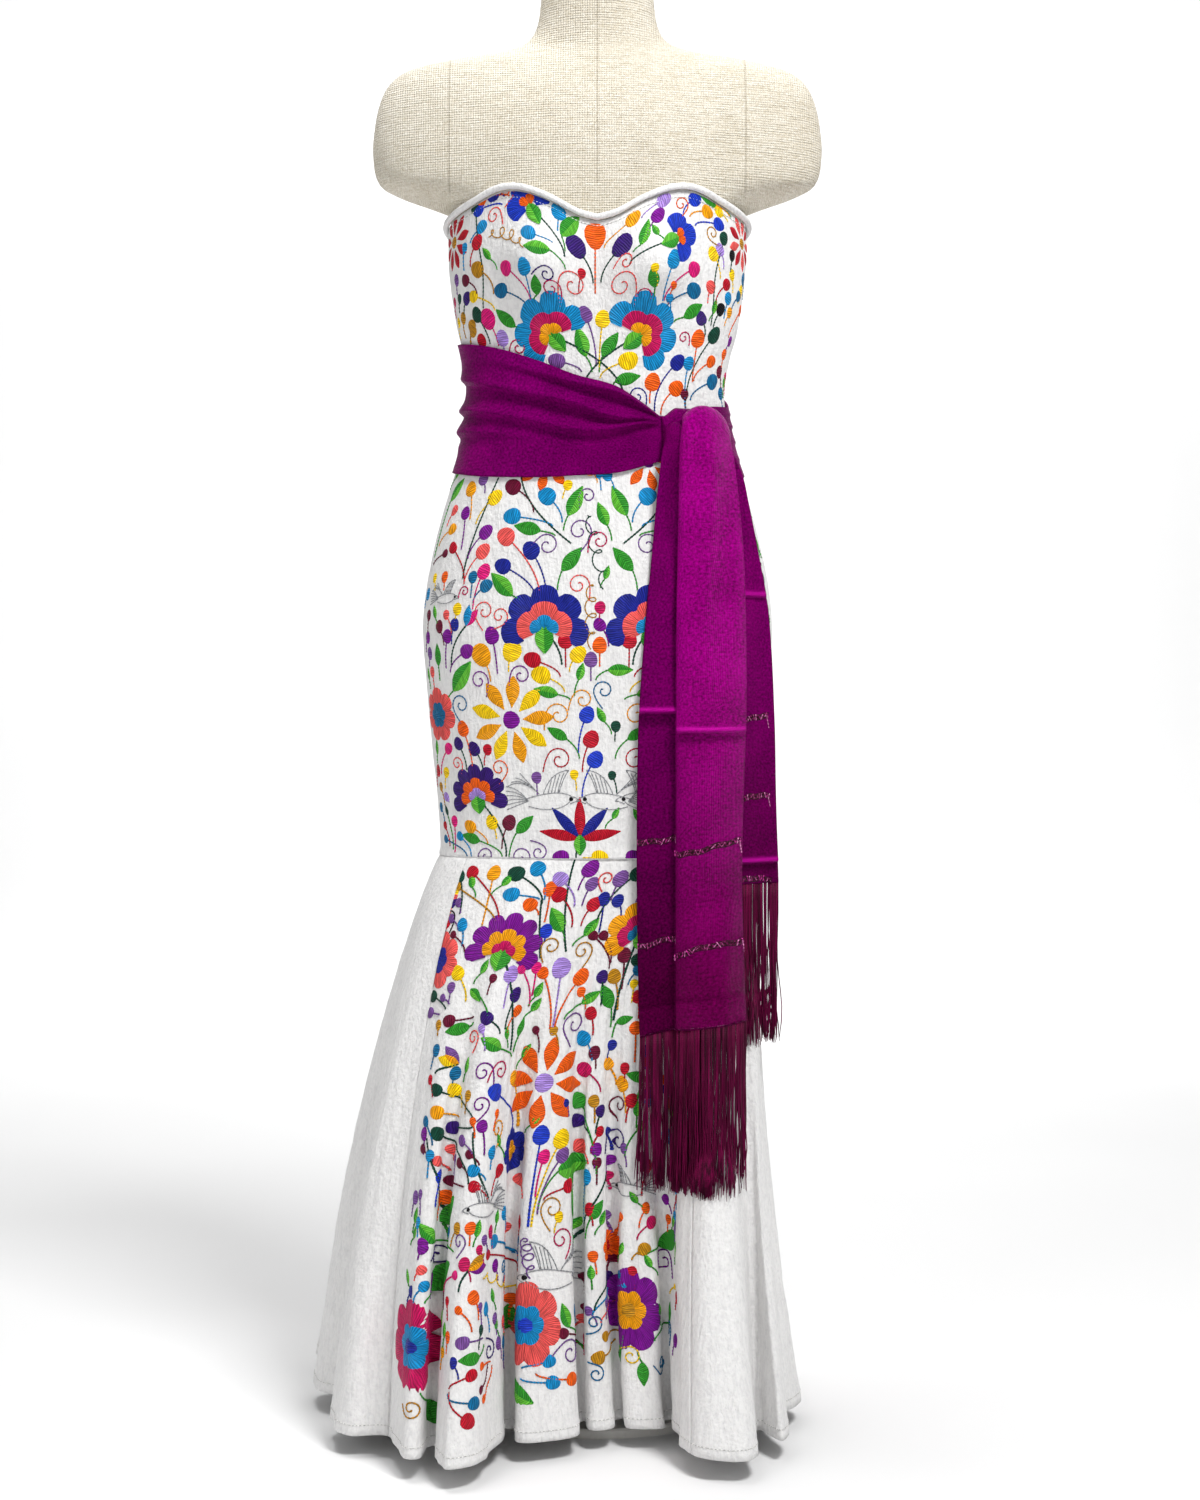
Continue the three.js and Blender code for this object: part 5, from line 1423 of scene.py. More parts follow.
def sash_lift(angle, t):
    """Clearance plus the highest of the folds, a slow wave, and small pleats at the side."""
    lift = 0.0
    for fold in "abcd":
        ridge, high = (along(SASH_RIDGES, "angle", key + fold, angle) for key in ("", "high_"))
        lift = np.maximum(lift, high * fold_profile(t - ridge))
    slow = 0.5 + 0.5 * waves(angle * 2.3, t * 110, 31, 7, 130, 26)
    pleats = 0.5 + 0.5 * np.sin(t * 42 + 2.5 * waves(angle * 1.6, t * 60, 33, 5, 120, 40))
    pleats = pleats * smooth_step(0.12, 0.25, t) * smooth_step(0.62, 0.45, t) * bell(angle + 84, 24)
    tucked = mix(1, 0.25, smooth_step(29, 36, angle)) * mix(1, 0.4, smooth_step(-285, -296, angle))
    return SASH_CLEARANCE + 0.25 + lift * tucked + 0.8 * slow + 1.6 * pleats


def sash_grid(rows, columns):
    """The whole strip as a grid of angle and share of its height, from under the knot round to it."""
    angle, t = np.meshgrid(np.linspace(SASH_END - 3, SASH_START + 4, columns), np.linspace(0, 1, rows))
    bottom, top = (along(SASH_EDGES, "angle", edge, angle) for edge in ("bottom", "top"))
    points = body_point(angle, mix(bottom, top, t), SASH_CLOTH + sash_lift(angle, t))
    run = np.linalg.norm(np.diff(points[rows // 2], axis=0), axis=1).sum()
    panel = make_panel(points, np.full(rows, run), np.linspace(0, 118, rows))
    return panel


SASH = sash_grid(54, 250)
print("sash round the waist (mm):", SASH["widths"][0].round())

# %% [markdown]
# ## The knot and the hanging ends
# The two ends drop from the knot. The front one comes out over the knot as a rounded hump, is
# pleated lengthwise, and keeps a sharp cross crease from being folded away. Cloth that hangs falls
# straight from the place that stands out furthest, so each column of the grid takes the running
# maximum of the depth of the body from its top row down.

# %% The knot
KNOT = {"from": 36, "to": 63, "bottom": 976, "top": 1032, "edge": 7, "fullness": 17}


def knot_rise(s, t):
    """Square root of the product of two half sine waves: a soft pillow."""
    return np.sqrt(np.sin(np.pi * np.clip(s, 0, 1)) * np.sin(np.pi * np.clip(t, 0, 1)))


def knot_sheet(rows, columns):
    """The pillow, with folds that fan out from its left edge."""
    s, t = np.meshgrid(np.linspace(0, 1, columns), np.linspace(0, 1, rows))
    angle = mix(KNOT["from"] + 0.1, KNOT["to"] - 0.1, s)
    fan = np.sin(9.5 * (t - 0.5) / (0.35 + s) + 1.2) * bell(s - 0.25, 0.45)
    out = KNOT["edge"] + KNOT["fullness"] * knot_rise(s, t) + 1.5 * fan * knot_rise(s, t)
    top = KNOT["top"] - 9 * smooth_step(0.3, 0.0, s) - 5 * bell(s - 0.86, 0.08)
    return body_point(angle, mix(KNOT["bottom"], top, t), out)


# %% Depth of what the ends hang over
def front_depth(x, z):
    """Depth in front of the axis: by halving the angle above the knee seam, by the ring below."""
    depth = np.zeros_like(x)
    upper = z > KNEE_SEAM
    low, high = np.zeros_like(x), np.full_like(x, 90.0)
    t = (z - KNOT["bottom"]) / (KNOT["top"] - KNOT["bottom"])
    wrapped = (z > KNOT["bottom"] - 12) & (z < KNOT["top"] + 6)

    def lift(angle):
        """How far the knot stands out from the body at an angle."""
        s = (angle - KNOT["from"]) / (KNOT["to"] - KNOT["from"])
        return np.where(wrapped, KNOT["edge"] + 1 + KNOT["fullness"] * knot_rise(s, t), 0)

    for _ in range(24):
        middle = (low + high) / 2
        short = body_point(middle, z, lift(middle))[..., 0] < x
        low, high = np.where(short, middle, low), np.where(short, high, middle)
    body = -body_point(low, z, lift(low))[..., 1]
    depth[upper] = np.where(high > 89.9, 0, body)[upper]
    for row in np.flatnonzero((~upper).all(axis=1)):
        v = (KNEE_SEAM - z[row]) / (KNEE_SEAM - HEM)
        ring = flounce_point(np.arange(193)[:, None] / 8, v[None, :])
        x0, x1, y0, y1 = ring[:-1, :, 0], ring[1:, :, 0], ring[:-1, :, 1], ring[1:, :, 1]
        crosses = (x0 - x[row]) * (x1 - x[row]) <= 0
        share = (x[row] - x0) / np.where(x1 == x0, 1, x1 - x0)
        depth[row] = np.where(crosses, -mix(y0, y1, share), 0).max(axis=0)
    return depth


CLEARANCE_FRONT, CLEARANCE_BACK, ON_FLOUNCE, FADE_IN = 5.8, 1.8, 5, 60
FLATNESS = 0.95


def flat_depth(x, z):
    """Depth of a strip that lies flat at (x, z). Sideways it stays flatter than the hip and falls back
    by FLATNESS at most, so what lies up to 42 mm nearer the middle counts too, less FLATNESS times its
    distance."""
    nearer = [front_depth(x - step, z) - FLATNESS * step for step in range(0, 43, 6)]
    return np.max(nearer, axis=0) + ON_FLOUNCE * np.clip((KNEE_SEAM - z) / FADE_IN, 0, 1)


def hang(x, z, clearance):
    """Depth of each column from the top row down: the running maximum of what it passes."""
    return np.maximum.accumulate(flat_depth(x, z) + clearance, axis=0)


# %% Tables of the two ends
PLEAT = table("step across out", [
    (0, 0, 0), (1, 0.5, 0.6), (2, 1, 0), (3, 1.38, 0), (4, 1.44, 2.6), (5, 1.38, 5.2), (6, 1.06, 5.2),
    (7, 0.99, 7.8), (8, 1.06, 10.4), (9, 1.35, 12), (10, 1.7, 11.5), (11, 2, 9),
])
FRONT_END = table("z left pleat right", [
    (414, 42, 78, 146), (502, 40, 78, 144), (609, 39, 78, 144), (731, 41, 78, 147), (827, 48, 78, 146),
    (881, 53, 79, 144), (940, 58, 80, 139), (985, 63, 81, 134), (1012, 66, 82, 131),
])
BACK_END = table("z left right", [
    (562, 104, 183), (647, 102, 180), (726, 100, 178), (827, 98, 172), (881, 97, 163), (940, 97, 151),
    (972, 97, 143), (995, 95, 130), (1016, 93, 116),
])
SLANT, SLANT_FROM, SLANT_OVER = 18, 900, 486
FRONT_FOLDS, BACK_FOLDS = (735, 716), (850, 585)
WRAP_MIDDLE = 973
KNOT_TOP = 1030
print("front end (mm):", FRONT_END["z"][[0, -1]], "back end (mm):", BACK_END["z"][[0, -1]])

# %% The front end
def front_end_places(steps, heights):
    """x, z and how far in front of the first layer, for each height and each step of the pleat."""
    z, step = np.meshgrid(heights, steps, indexing="ij")
    across, out = (along(PLEAT, "step", name, step) for name in ("across", "out"))
    left, pleat, right = (along(FRONT_END, "z", name, z) for name in ("left", "pleat", "right"))
    x = np.where(across < 1, mix(left, pleat, across), mix(pleat, right, across - 1))
    drop = np.clip((SLANT_FROM - z) / SLANT_OVER, 0, 1)
    return x, z + SLANT * across / 2 * drop, out


def crease(z, at, height, step_in=1.0):
    """A sharp fold from storage: the cloth leans out towards it, ends in a lip, and goes on further
    in below it, coming back over 60 mm."""
    above = np.exp(-np.maximum(z - at, 0) / 26) * smooth_step(at - 3.0, at, z)
    below = np.exp(-np.maximum(at - z, 0) / 40) * smooth_step(at, at - 3.0, z)
    lip = 0.8 * height * np.exp(-np.maximum(z - at, 0) / 3.2) * smooth_step(at - 2.0, at, z)
    return height * above + lip - step_in * below


HUMP_LEVEL, HUMP_ROUND = 1010, 14


def hump_tops(across):
    """Top edge of each column: the narrow first layer ends low, the front layers in an arch."""
    arch = np.sqrt(np.clip(1 - ((across - 1.46) / 0.56) ** 2, 0, 1))
    first = np.sqrt(np.clip(1 - ((across - 0.6) / 0.62) ** 2, 0, 1))
    return np.where(across < 1.03, 1002 + 14 * first, 1003 + 29 * arch)


def front_end(heights, columns):
    """The front end with its pleat. Above level 985 the columns are stretched up to the arch of the
    hump, whose last HUMP_ROUND mm turn back as a quarter circle."""
    steps = np.linspace(0, 11, columns)
    across = along(PLEAT, "step", "across", steps)[None, :]
    x, z, out = front_end_places(steps, heights)
    top = hump_tops(across)
    z = np.where(z > 985, 985 + (z - 985) * (top - 985) / (KNOT_TOP - 985), z)
    out = out + 9 * np.clip(across, 0, 1)
    gathered = mix(0.3, 1.0, smooth_step(1020, 930, z))
    share = steps[None, :] / 11
    depth = hang(x, np.minimum(z, HUMP_LEVEL), CLEARANCE_FRONT) + out * gathered
    turned_back = np.clip((z - top + HUMP_ROUND) / HUMP_ROUND, 0, 1)
    depth -= HUMP_ROUND * (1 - np.sqrt(1 - 0.999 * turned_back ** 2)) * np.where(across < 1.03, 0.6, 1.0)
    round_front = np.where(across > 1.03, 1 - np.clip(np.abs(across - 1.45) / 0.55, 0, 1) ** 2.4, 0.3)
    depth += 7.5 * round_front * smooth_step(780, 1000, z)
    fan = (x - 100) / mix(1.25, 0.75, smooth_step(760, 1000, z))
    folds = 0.75 * np.sin(fan / 5.6 + 1.3 * np.sin(z / 95)) + 0.7 * waves(fan * 1.6, z / 5, 41, 6, 66, 24)
    slow = 0.7 * waves(x * 1.5, z, 42, 6, 260, 60) * smooth_step(414, 560, z)
    sharp = crease(z, np.where(share < 0.3, *FRONT_FOLDS), 5.0, 1.5)
    low = z - SLANT * across / 2
    kick = 10 * np.clip((438 - low) / 26, 0, 1) ** 0.8 - 2.2 * bell(low - 440, 4)
    edge = 1.0 * bell(share - 1.0, 0.02) + 1.0 * bell(share, 0.012)
    gathers = 3.0 * folds * smooth_step(690, 900, z) * smooth_step(1030, 975, z)
    points = np.stack([x, -(depth + gathers + slow + sharp + kick - edge), z], axis=-1)
    return points[::-1]


# %% The back end
def back_end(heights, columns):
    """The back end comes down from the knot over the wrap, behind the front one. Over the wrap it
    lies flat; from WRAP_MIDDLE down it hangs, and stands a little further out at the wrap's edge."""
    z, across = np.meshgrid(heights, np.linspace(0, 1, columns), indexing="ij")
    x = mix(along(BACK_END, "z", "left", z), along(BACK_END, "z", "right", z), across)
    over_wrap = int((heights > WRAP_MIDDLE).sum())
    depth = flat_depth(x, z) + CLEARANCE_BACK
    depth[over_wrap:] = hang(x[over_wrap:], z[over_wrap:], CLEARANCE_BACK)
    depth = depth + (3 + 4 * across) * smooth_step(925, 970, z)
    slow = 0.5 + 0.5 * waves(x * 1.6, z, 43, 6, 230, 60)
    upper, lower = BACK_FOLDS
    sharp = (crease(z, upper, 3.0, 0.2) + crease(z, lower, 5.5, 0.5)) * smooth_step(116, 142, x)
    folds = (0.5 + 0.5 * waves(x * 2.4, z / 5, 44, 5, 60, 24)) * smooth_step(700, 900, z)
    points = np.stack([x, -(depth + 1.2 * slow * smooth_step(970, 900, z) + 1.6 * folds + sharp), z], axis=-1)
    return points[::-1]


def hanging_panel(points):
    """Turn a centre sheet into the front face of the cloth, with its flat sizes."""
    points = points + sheet_normals(points) * SASH_CLOTH / 2
    widths = np.linalg.norm(np.diff(points, axis=1), axis=2).sum(axis=1)
    return make_panel(points, widths, points[:, points.shape[1] // 2, 2])


# %% Both ends as panels
FRONT_HEIGHTS = np.concatenate([
    np.linspace(KNOT_TOP, 985, 34), np.linspace(982, 745, 62), np.linspace(741, 708, 30),
    np.linspace(704, 452, 66), np.linspace(449, 414, 18),
])
BACK_HEIGHTS = np.concatenate([
    np.linspace(1016, 976, 12), np.linspace(972, 862, 28), np.linspace(858, 844, 10),
    np.linspace(840, 596, 62), np.linspace(593, 562, 26),
])
ENDS = {
    "sash_end_front": hanging_panel(front_end(FRONT_HEIGHTS, 88)),
    "sash_end_back": hanging_panel(back_end(BACK_HEIGHTS, 30)),
}
for name, panel in ENDS.items():
    print(name, "width (mm):", panel["widths"][[0, -1]].round(), "lowest:", panel["heights"][0].round())

# %% [markdown]
# ## Sash satin
# The sash has fine cross ribs. One recipe makes two finishes: a lit copy for the front end, and a
# darker copy with painted shade for round the waist, the knot, what hangs further back and the first
# layer of the front end's pleat. The ribs follow the strip's own length, so they read its texture
# coordinates. The colour darkens towards the low ends as painted shade, and a painted highlight lies
# along the edge of each storage fold, set by an attribute of the mesh.

# %% Sash finish
def sash_material(name, deep, bright, gloss):
    """Magenta satin: ribs as |sin| along the strip, mottled colour that darkens towards the low ends
    as painted shade, a painted highlight along the storage folds, and a pink gloss."""
    material, tree, shader = new_material(name, Roughness=0.5, Sheen_Weight=0.1,
                                          Sheen_Roughness=0.3, Specular_IOR_Level=gloss)
    shader.inputs["Sheen Tint"].default_value = rgb("FF10B0")
    shader.inputs["Specular Tint"].default_value = rgb("FF38C8")
    place = node(tree, "ShaderNodeTexCoord").outputs["UV"]
    parts = node(tree, "ShaderNodeSeparateXYZ", {0: place})
    flat = node(tree, "ShaderNodeCombineXYZ", {0: parts.outputs["X"], 2: parts.outputs["Y"]})
    weave = use_group(tree, WEAVE, flat.outputs[0], Threads_per_metre=800.0, Slubs=1.6)
    mottle = node(tree, "ShaderNodeTexNoise", {"Vector": flat.outputs[0], "Scale": 24.0, "Detail": 5.0})
    grain = node(tree, "ShaderNodeTexNoise", {"Vector": flat.outputs[0], "Scale": 420.0, "Detail": 3.0})
    clouds = calc(tree, "MULTIPLY", mottle.outputs["Fac"], 0.3)
    mixed = calc(tree, "MULTIPLY_ADD", grain.outputs["Fac"], 0.75, clouds)
    level = node(tree, "ShaderNodeSeparateXYZ", {0: node(tree, "ShaderNodeTexCoord").outputs["Object"]})
    # painted shade: lower on the sash, by height, the colour is multiplied darker
    depth = two_colours(tree, level.outputs["Z"], "A4848F", "FFFFFF", 0.47, 0.80)
    purple = two_colours(tree, mixed, deep, bright, 0.38, 0.68)
    dyed = node(tree, "ShaderNodeMix", {0: 1.0, 6: purple, 7: depth},
                data_type="RGBA", blend_type="MULTIPLY")
    # painted highlight: bright pink D614AE is mixed in along the storage folds by the fold_edge attribute
    folded = node(tree, "ShaderNodeAttribute", attribute_name="fold_edge")
    lit = node(tree, "ShaderNodeMix", {0: folded.outputs["Fac"], 6: dyed.outputs[2], 7: rgb("D614AE")},
               data_type="RGBA")
    tree.links.new(lit.outputs[2], shader.inputs["Base Color"])
    rough = calc(tree, "MULTIPLY_ADD", weave.outputs["Slub"], 0.22, 0.27)
    tree.links.new(rough, shader.inputs["Roughness"])
    bump(tree, shader, weave.outputs["Height"], 0.7, 0.0008)
    return material


# Lit and shaded copies of one satin: the shaded copy is painted shade, the bright copy painted light.
sash_shaded = sash_material("purple ribbed sash, upright ribs", "550046", "960078", 0.03)
sash_bright = sash_material("purple ribbed sash, level ribs", "6C0054", "C0009C", 0.16)
print("sash finishes:", sash_shaded.name, "and", sash_bright.name)

# %% Build the sash
def build_sash_piece(name, panel, flat, rests_on, material=sash_shaded, area=None):
    """One stretch of the sash: a wall on its sheet, in one of the two finishes, by default the copy with painted
    shade.
    """
    piece = cloth_wall(name + "_cloth", panel["points"], SASH_CLOTH, panel["flat"] * MM)
    piece.data.materials.append(material)
    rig.ride(piece, "root")
    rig.replaces(piece, name)
    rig.slot(piece, "sash")
    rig.sheet(piece, flat=flat, held="folded", rests_on=rests_on, area=area)
    return piece


def mark_fold_edges(piece, levels):
    """An attribute that is 0.8 on each storage fold and fades within a few millimetres: a bell of
    the height over the fold. The finish paints a highlight there."""
    places = np.empty(len(piece.data.vertices) * 3, dtype=np.float32)
    piece.data.vertices.foreach_get("co", places)
    x, up = places.reshape(-1, 3)[:, 0] / MM, places.reshape(-1, 3)[:, 2] / MM
    shine = 0.8 * sum(bell(up - level(x, up) - 1.0, 2.3) for level in levels)
    layer = piece.data.attributes.new("fold_edge", "FLOAT", "POINT")
    layer.data.foreach_set("value", shine.astype(np.float32))


def front_fold(x, up):
    """The storage fold of the front end: the first layer's lies higher than the front layers'."""
    return np.where(x < along(FRONT_END, "z", "pleat", up) - 1, *FRONT_FOLDS)


# The wrap, the back end and the knot take the default copy with painted shade.
build_sash_piece("sash_wrap", SASH, (0.78, 0.148), ["dress_front_cloth"], area=0.098)
front_cloth = build_sash_piece("sash_end_front", ENDS["sash_end_front"], (0.178, 0.66),
                               ["flounce_front_cloth"], sash_bright)
# The first layer of the pleat gets the copy with painted shade, as a second slot.
front_cloth.data.materials.append(sash_shaded)
middles = np.empty(len(front_cloth.data.polygons) * 3, dtype=np.float32)
front_cloth.data.polygons.foreach_get("center", middles)
across, up = middles.reshape(-1, 3)[:, 0] / MM, middles.reshape(-1, 3)[:, 2] / MM
first_layer = across < along(FRONT_END, "z", "pleat", up) - 1
front_cloth.data.polygons.foreach_set("material_index", first_layer.astype(np.int32))
mark_fold_edges(front_cloth, [front_fold])
print("front end:", int(first_layer.sum()), "faces of the first layer,", len(first_layer), "in all")
back_cloth = build_sash_piece("sash_end_back", ENDS["sash_end_back"], (0.085, 0.48), ["dress_front_cloth"])
mark_fold_edges(back_cloth, [lambda x, up, fold=fold: fold for fold in BACK_FOLDS])
knot_points = knot_sheet(40, 40)
knot_panel = make_panel(knot_points, np.full(40, 70.0), np.linspace(0, 60, 40))
build_sash_piece("sash_knot", knot_panel, (0.075, 0.075), ["dress_front_cloth"])
print("sash pieces built")

# %% [markdown]
# ## Openwork rows
# Near each end some weft threads were drawn out in narrow bands and the warp left there was twisted
# in pairs. Each band is a dark strip that paints the shade between the open threads, with two cords
# that wind round each other and short thread ends, most in pale pinks as painted glints. They are
# laid on the sash the same way as the embroidery on the dress.

# %% Openwork rows
def openwork(width, seed, drift=0.0):
    """One band as patches: a dark strip of painted shade, two sine lines half a turn apart, and short
    leaning threads, most in pale pinks as painted glints.
    """
    rng = np.random.default_rng(seed)
    x = np.linspace(-width / 2, width / 2, int(width * 1.2))
    wander = drift * x / width + 1.5 * np.sin(x / 9 + seed) + 0.8 * np.sin(x / 3.1 + 2 * seed)
    grid_x, grid_z = np.meshgrid(x, np.array([-3.1, -2.7, 2.7, 3.1]))
    lift = np.array([-0.2, 0.25, 0.25, -0.2])[:, None]
    # painted shade: a dark wine strip stands for the shade between the open threads
    shapes = [patch(grid_x, grid_z + wander, lift, grid_x, grid_z, rgb("2E001C")[:3])]
    for phase, code in ((0.0, "560038"), (math.pi, "7E0A58")):
        line = np.stack([x, wander + 2.1 * np.sin(x * math.tau / 9 + phase)], axis=1)
        shapes.append(shifted(stem(line, rgb(code)[:3], 0.8), lift=0.4))
    # painted glints: pale pinks stand for light caught on the threads, with one dark colour among them
    glints = [rgb(code)[:3] for code in ("E888C4", "B8508C", "40001F", "D83CA4")]
    for place in np.linspace(-0.48, 0.48, int(width / 2.4)):
        tilt, long = rng.uniform(-3.2, 3.2), rng.uniform(2.4, 6.4)
        middle = np.interp(place * width, x, wander)
        line = [(place * width - tilt / 2, middle - long / 2), (place * width + tilt / 2, middle + long / 2)]
        shapes.append(shifted(stem(line, glints[rng.integers(4)], 0.42), lift=0.9))
    loose = [(width * 0.47, wander[-1]), (width * 0.5, wander[-1] - 9 - 4 * rng.uniform())]
    return shapes + [shifted(stem(loose, glints[0], 0.4), lift=0.8)]


sash_rows = {
    "sash_end_front": [(0.09, 612, 33, 61, 0), (0.82, 598, 64, 62, 7), (0.09, 512, 33, 63, 0),
                       (0.82, 500, 66, 64, 9), (0.09, 417, 33, 65, -4), (0.82, 416, 66, 66, 0)],
    "sash_end_back": [(0.5, 727, 76, 67, 3), (0.5, 648, 76, 68, 2), (0.5, 566, 76, 69, 0)],
}
openwork_floss = thread_material("glinting openwork threads")
for name, rows in sash_rows.items():
    patches = [(shape, share, height) for share, height, width, seed, drift in rows
               for shape in openwork(width, seed, drift)]
    embroider(name + "_openwork", ENDS[name], patches, openwork_floss)

# %% [markdown]
# ## The fringes
# Below each end the warp threads are left long, twisted into cords and left to hang. Each cord is a
# thin three-sided tube carried down a line that wanders a little. All the cords of one fringe are
# worked out together as one array.

# %% Fringe cords
def tube(points, radius, sides=3):
    """Tubes round many lines at once: points (lines, steps, 3), radius (lines, steps)."""
    turn = np.linspace(0, math.tau, sides, endpoint=False) + 0.5
    lines, steps = points.shape[:2]
    ring = np.stack([np.cos(turn), np.sin(turn), np.zeros(sides)], axis=-1)
    around = points[:, :, None, :] + ring[None, None] * radius[:, :, None, None]
    index = np.arange(lines * steps * sides).reshape(lines, steps, sides)
    following = np.roll(index, -1, axis=2)
    walls = np.stack([index[:, 1:], following[:, 1:], following[:, :-1], index[:, :-1]], axis=-1)
    walls = walls.reshape(-1, 4)
    ends = np.concatenate([index[:, 0], index[:, -1][:, ::-1]])
    return around.reshape(-1, 3), walls.tolist() + ends.tolist()


def fringe_lines(panel, count, lowest, seed, thick):
    """Cords from the lower edge of a panel down to a nearly level line: they gather in bunches, and
    wander sideways more and more towards the tips. Where the flounce stands out further, a cord
    lies on it: its depth is the running maximum down the cord."""
    rng = np.random.default_rng(seed)
    edge = panel["points"][0] + panel["normals"][0] * -SASH_CLOTH / 2
    share = np.sort(rng.uniform(0, 1, count))
    bunches = max(int(count / 14), 1)
    share += 0.16 / bunches * np.sin(math.tau * share * bunches) / math.pi
    bunch = np.floor(share * bunches).astype(int) % bunches
    place = np.clip(share, 0, 1) * (len(edge) - 1)
    root = np.stack([np.interp(place, np.arange(len(edge)), edge[:, axis]) for axis in range(3)], axis=1)
    steps = np.linspace(0, 1, 11)
    long = root[:, 2] - lowest - rng.uniform(-4, 26, count) * rng.uniform(0.2, 1.0, count)
    wander = rng.normal(0, 1, (count, 2, 2)) * np.array([1.3, 0.8])[None, :, None]
    lean = (rng.normal(0, 1, (bunches, 2)) * np.array([3.2, 1.6]))[bunch]
    lean += rng.normal(0, 1, (count, 2)) * np.array([2.0, 1.2])
    points = np.repeat(root[:, None, :], len(steps), axis=1)
    points[..., 2] -= steps[None, :] * long[:, None] - 1.0
    for axis in range(2):
        sway = wander[:, axis, 0, None] * np.sin(steps * 5 + bunch[:, None])
        sway += wander[:, axis, 1, None] * np.sin(steps * 9 + place[:, None])
        points[..., axis] += sway * steps + lean[:, axis, None] * steps ** 2
    points[..., 1] -= 0.8 * steps
    over = front_depth(points[..., 0].T, points[..., 2].T).T + 2.5 + 2.5 * rng.uniform(0, 1, (count, 1))
    points[..., 1] = -np.maximum.accumulate(np.maximum(-points[..., 1], over), axis=1)
    radius = thick * (1 + 0.25 * np.sin(steps * 60)[None, :] * rng.uniform(0, 1, (count, 1)))
    radius[:, -1] *= 0.5
    return points, radius


def fringe_material():
    """Wine-red cotton cords: colour changes from cord to cord and along each one."""
    material, tree, shader = new_material("wine fringe", Roughness=0.5, Specular_IOR_Level=0.12)
    place = node(tree, "ShaderNodeTexCoord").outputs["Object"]
    squeezed = node(tree, "ShaderNodeMapping", {"Vector": place, "Scale": (1.0, 1.0, 0.02)})
    cords = node(tree, "ShaderNodeTexNoise", {"Vector": squeezed.outputs[0], "Scale": 420.0, "Detail": 2.0})
    twist = node(tree, "ShaderNodeTexWave", {"Vector": place, "Scale": 180.0, "Distortion": 2.0},
                 bands_direction="Z")
    tree.links.new(two_colours(tree, cords.outputs["Fac"], "3A001F", "7C0046", 0.35, 0.7),
                   shader.inputs["Base Color"])
    bump(tree, shader, twist.outputs["Fac"], 0.4, 0.0004)
    return material


fringe_cotton = fringe_material()
for name, panel, count, lowest, seed in (
    ("fringe_front", ENDS["sash_end_front"], 600, 262, 51),
    ("fringe_back", ENDS["sash_end_back"], 300, 400, 52),
):
    points, radius = fringe_lines(panel, count, lowest, seed, 0.66)
    places, faces = tube(points, radius)
    cords = new_mesh(name + "_cords", places, faces)
    cords.data.materials.append(fringe_cotton)
    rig.ride(cords, "root")
    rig.replaces(cords, name)
    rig.slot(cords, "fringe")
    print(cords.name, len(points), "cords", len(faces), "faces")

# %% [markdown]
# ## The dress form
# The form is stiffened torso covered in coarse unbleached linen: no head, no arms, only rounded
# shoulder caps cut off flat underneath. Seams run up the middle and round each cap. The linen
# follows the same ovals as the dress, a little inside it, so the two never touch.

# %% Form shape
FORM_GRID_LEVELS = np.concatenate([
    np.linspace(757, 1200, 60), np.linspace(1206, 1262, 24), np.linspace(1268, 1360, 26),
    np.linspace(1362, 1412, 26), np.linspace(1418, 1478, 10),
])
TORSO_ROUNDING = table("z inset", [(745, 26), (749, 13), (757, 5), (768, 1), (790, 0)])
INSIDE = CLOTH + FORM_CLEARANCE


def form_points(columns):
    """Closed rings at each level, a clearance inside the dress, rounded in at the lower end."""
    levels = np.concatenate([[745, 746.5, 749, 752.5], FORM_GRID_LEVELS])
    angle, level = np.meshgrid(np.linspace(0, 360, columns, endpoint=False), levels)
    inset = along(TORSO_ROUNDING, "z", "inset", level)
    return body_point(angle, bent_level(angle, level), -INSIDE - inset)


form = form_points(176)
rows, columns = form.shape[:2]
caps = np.array([[0, form[0, :, 1].mean(), form[0, 0, 2]], [0, form[-1, :, 1].mean(), form[-1, 0, 2]]])
faces = grid_faces(rows, columns, wrap=True).tolist()
first, last = np.arange(columns), np.arange(columns) + (rows - 1) * columns
faces += np.stack([np.roll(first, -1), first, np.full(columns, rows * columns)], axis=-1).tolist()
faces += np.stack([last, np.roll(last, -1), np.full(columns, rows * columns + 1)], axis=-1).tolist()
linen_form = new_mesh("linen_form", np.concatenate([form.reshape(-1, 3), caps]), faces)
print("form:", len(faces), "faces")


